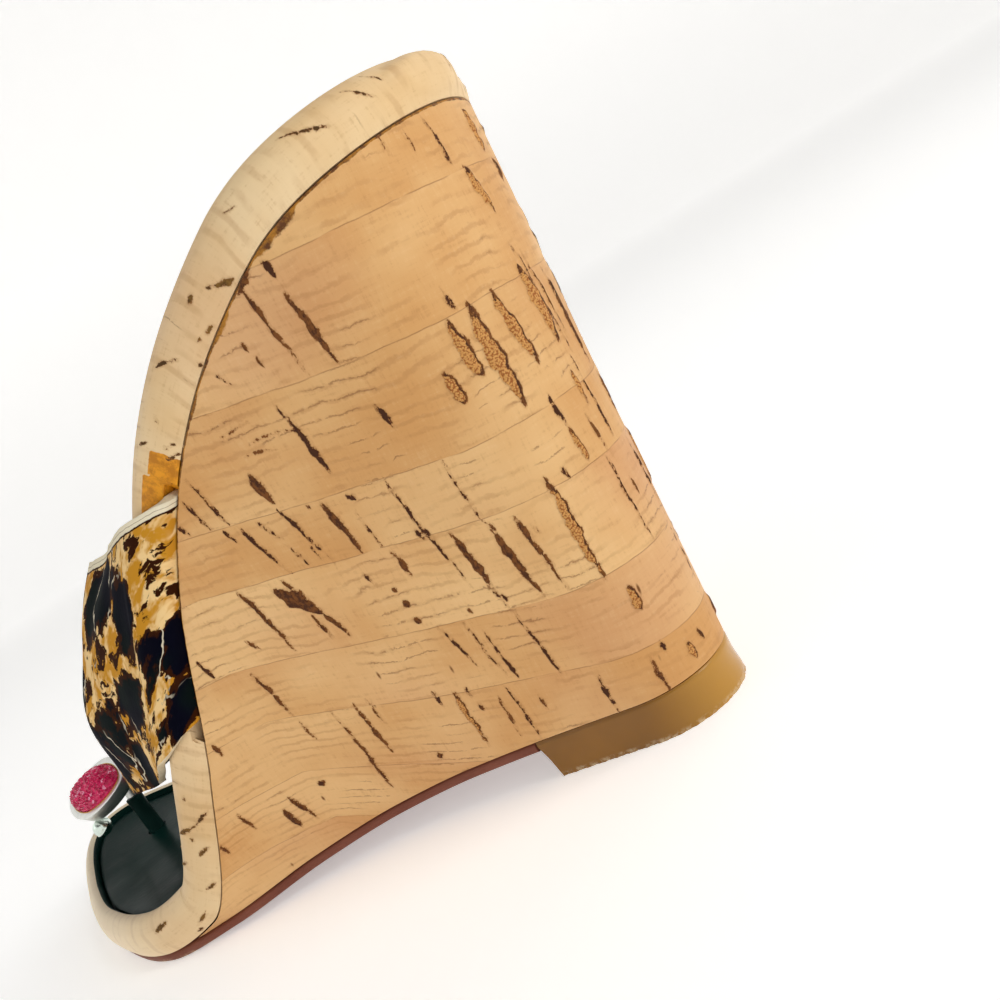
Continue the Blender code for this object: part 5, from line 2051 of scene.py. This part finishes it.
@dataclass(frozen=True)
class Studio:
    """A white sweep, soft lights and the camera."""

    camera_place: tuple[float, float, float] = (0.17561, 0.18378, 0.08531)
    ahead: tuple[float, float, float] = (-0.8534, -0.4840, -0.1933)
    right: tuple[float, float, float] = (-0.3294, 0.7883, -0.5198)
    lens: float = 41.0
    shift: tuple[float, float] = (-0.06, -0.006)
    sweep_radius: float = 2.2
    sweep_height: float = 1.6
    sweep_bend: float = 0.6
    sweep_steps: int = 8
    sweep_glow: float = 0.38
    surround: float = 0.14
    # Each lamp's name, place, size and power.
    lamps: tuple[tuple[str, tuple[float, float, float], float, float], ...] = (
        ("key", (0.0, 0.71, 0.6), 0.5, 2.6),
        ("fill", (0.3, -0.65, 0.6), 0.7, 0.55),
        ("back", (-0.6, 0.2, 0.9), 0.7, 1.0),
    )

    def camera(self) -> None:
        """Places the camera: behind the heel on the outer side, rolled towards the toe."""
        ahead = Vector(self.ahead).normalized()
        right = Vector(self.right)
        right = (right - ahead * right.dot(ahead)).normalized()
        up = right.cross(ahead)
        data = bpy.data.cameras.new("camera")
        data.lens = self.lens
        data.sensor_width = 36.0
        data.shift_x, data.shift_y = self.shift
        data.clip_start = 0.01
        obj = bpy.data.objects.new("camera", data)
        turned = Matrix((right, up, -ahead)).transposed().to_4x4()
        obj.matrix_world = Matrix.Translation(self.camera_place) @ turned
        bpy.context.scene.collection.objects.link(obj)
        bpy.context.scene.camera = obj

    def sweep(self) -> None:
        """A round white floor whose rim curves up into a wall."""
        bpy.ops.object.select_all(action="DESELECT")
        bpy.ops.mesh.primitive_circle_add(
            vertices=96, radius=self.sweep_radius, fill_type="NGON", location=(0, 0, 0)
        )
        floor = bpy.context.active_object
        floor.name = "sweep"
        bpy.ops.object.mode_set(mode="EDIT")
        bpy.ops.mesh.select_all(action="SELECT")
        bpy.ops.mesh.inset(thickness=0.001)
        Bench.pick(floor, lambda e: e.is_boundary)
        turns = [step / self.sweep_steps * math.pi / 2 for step in range(self.sweep_steps + 1)]
        for before, angle in zip(turns, turns[1:]):
            rise = self.sweep_bend * (math.cos(before) - math.cos(angle))
            was, reach = (self.sweep_radius + self.sweep_bend * math.sin(turn) for turn in (before, angle))
            grow = reach / was
            bpy.ops.mesh.extrude_edges_move(TRANSFORM_OT_translate={"value": (0, 0, rise)})
            bpy.ops.transform.resize(value=(grow, grow, 1.0))
        bpy.ops.mesh.extrude_edges_move(TRANSFORM_OT_translate={"value": (0, 0, self.sweep_height)})
        bpy.ops.object.mode_set(mode="OBJECT")
        bpy.ops.object.shade_smooth()
        recipe = Recipe("white_paper")
        paper = recipe.give(
            Base_Color=linear("F6F5F3"),
            Roughness=0.9,
            Specular_IOR_Level=0.1,
            Emission_Color=linear("FFFFFF"),
            Emission_Strength=self.sweep_glow,
        )
        floor.data.materials.append(paper)

    def lights(self) -> None:
        """A broad key over the heel, a fill from the toe and an even white surround."""
        world = bpy.data.worlds.new("surround")
        world.use_nodes = True
        world.node_tree.nodes["Background"].inputs["Color"].default_value = linear("FFFDFA")
        world.node_tree.nodes["Background"].inputs["Strength"].default_value = self.surround
        bpy.context.scene.world = world
        for name, place, size, power in self.lamps:
            data = bpy.data.lights.new(name, "AREA")
            data.shape = "DISK"
            data.size = size
            data.energy = power
            obj = bpy.data.objects.new(name, data)
            obj.location = place
            obj.rotation_euler = (Vector((0, 0, 0.05)) - Vector(place)).to_track_quat("-Z", "Y").to_euler()
            bpy.context.scene.collection.objects.link(obj)

    def build(self) -> None:
        """Sets up the stage."""
        self.camera()
        self.sweep()
        self.lights()
        bpy.context.scene.view_settings.view_transform = "Standard"


def main() -> None:
    """Builds the sandal's pieces in order and reports each."""
    logging.basicConfig(level=logging.INFO, format="%(name)s %(message)s")
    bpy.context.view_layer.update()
    low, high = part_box("toe_post")
    shift = ((low.x + high.x) / 2 / MM - POST_X, (low.y + high.y) / 2 / MM + POST_BACK)
    last = Last(shift)
    Studio().build()
    for part in (WedgeBody(last), Footbed(last), Underside(last), Upper(last), Ornament(last)):
        part.build()


if __name__ == "__main__":
    main()
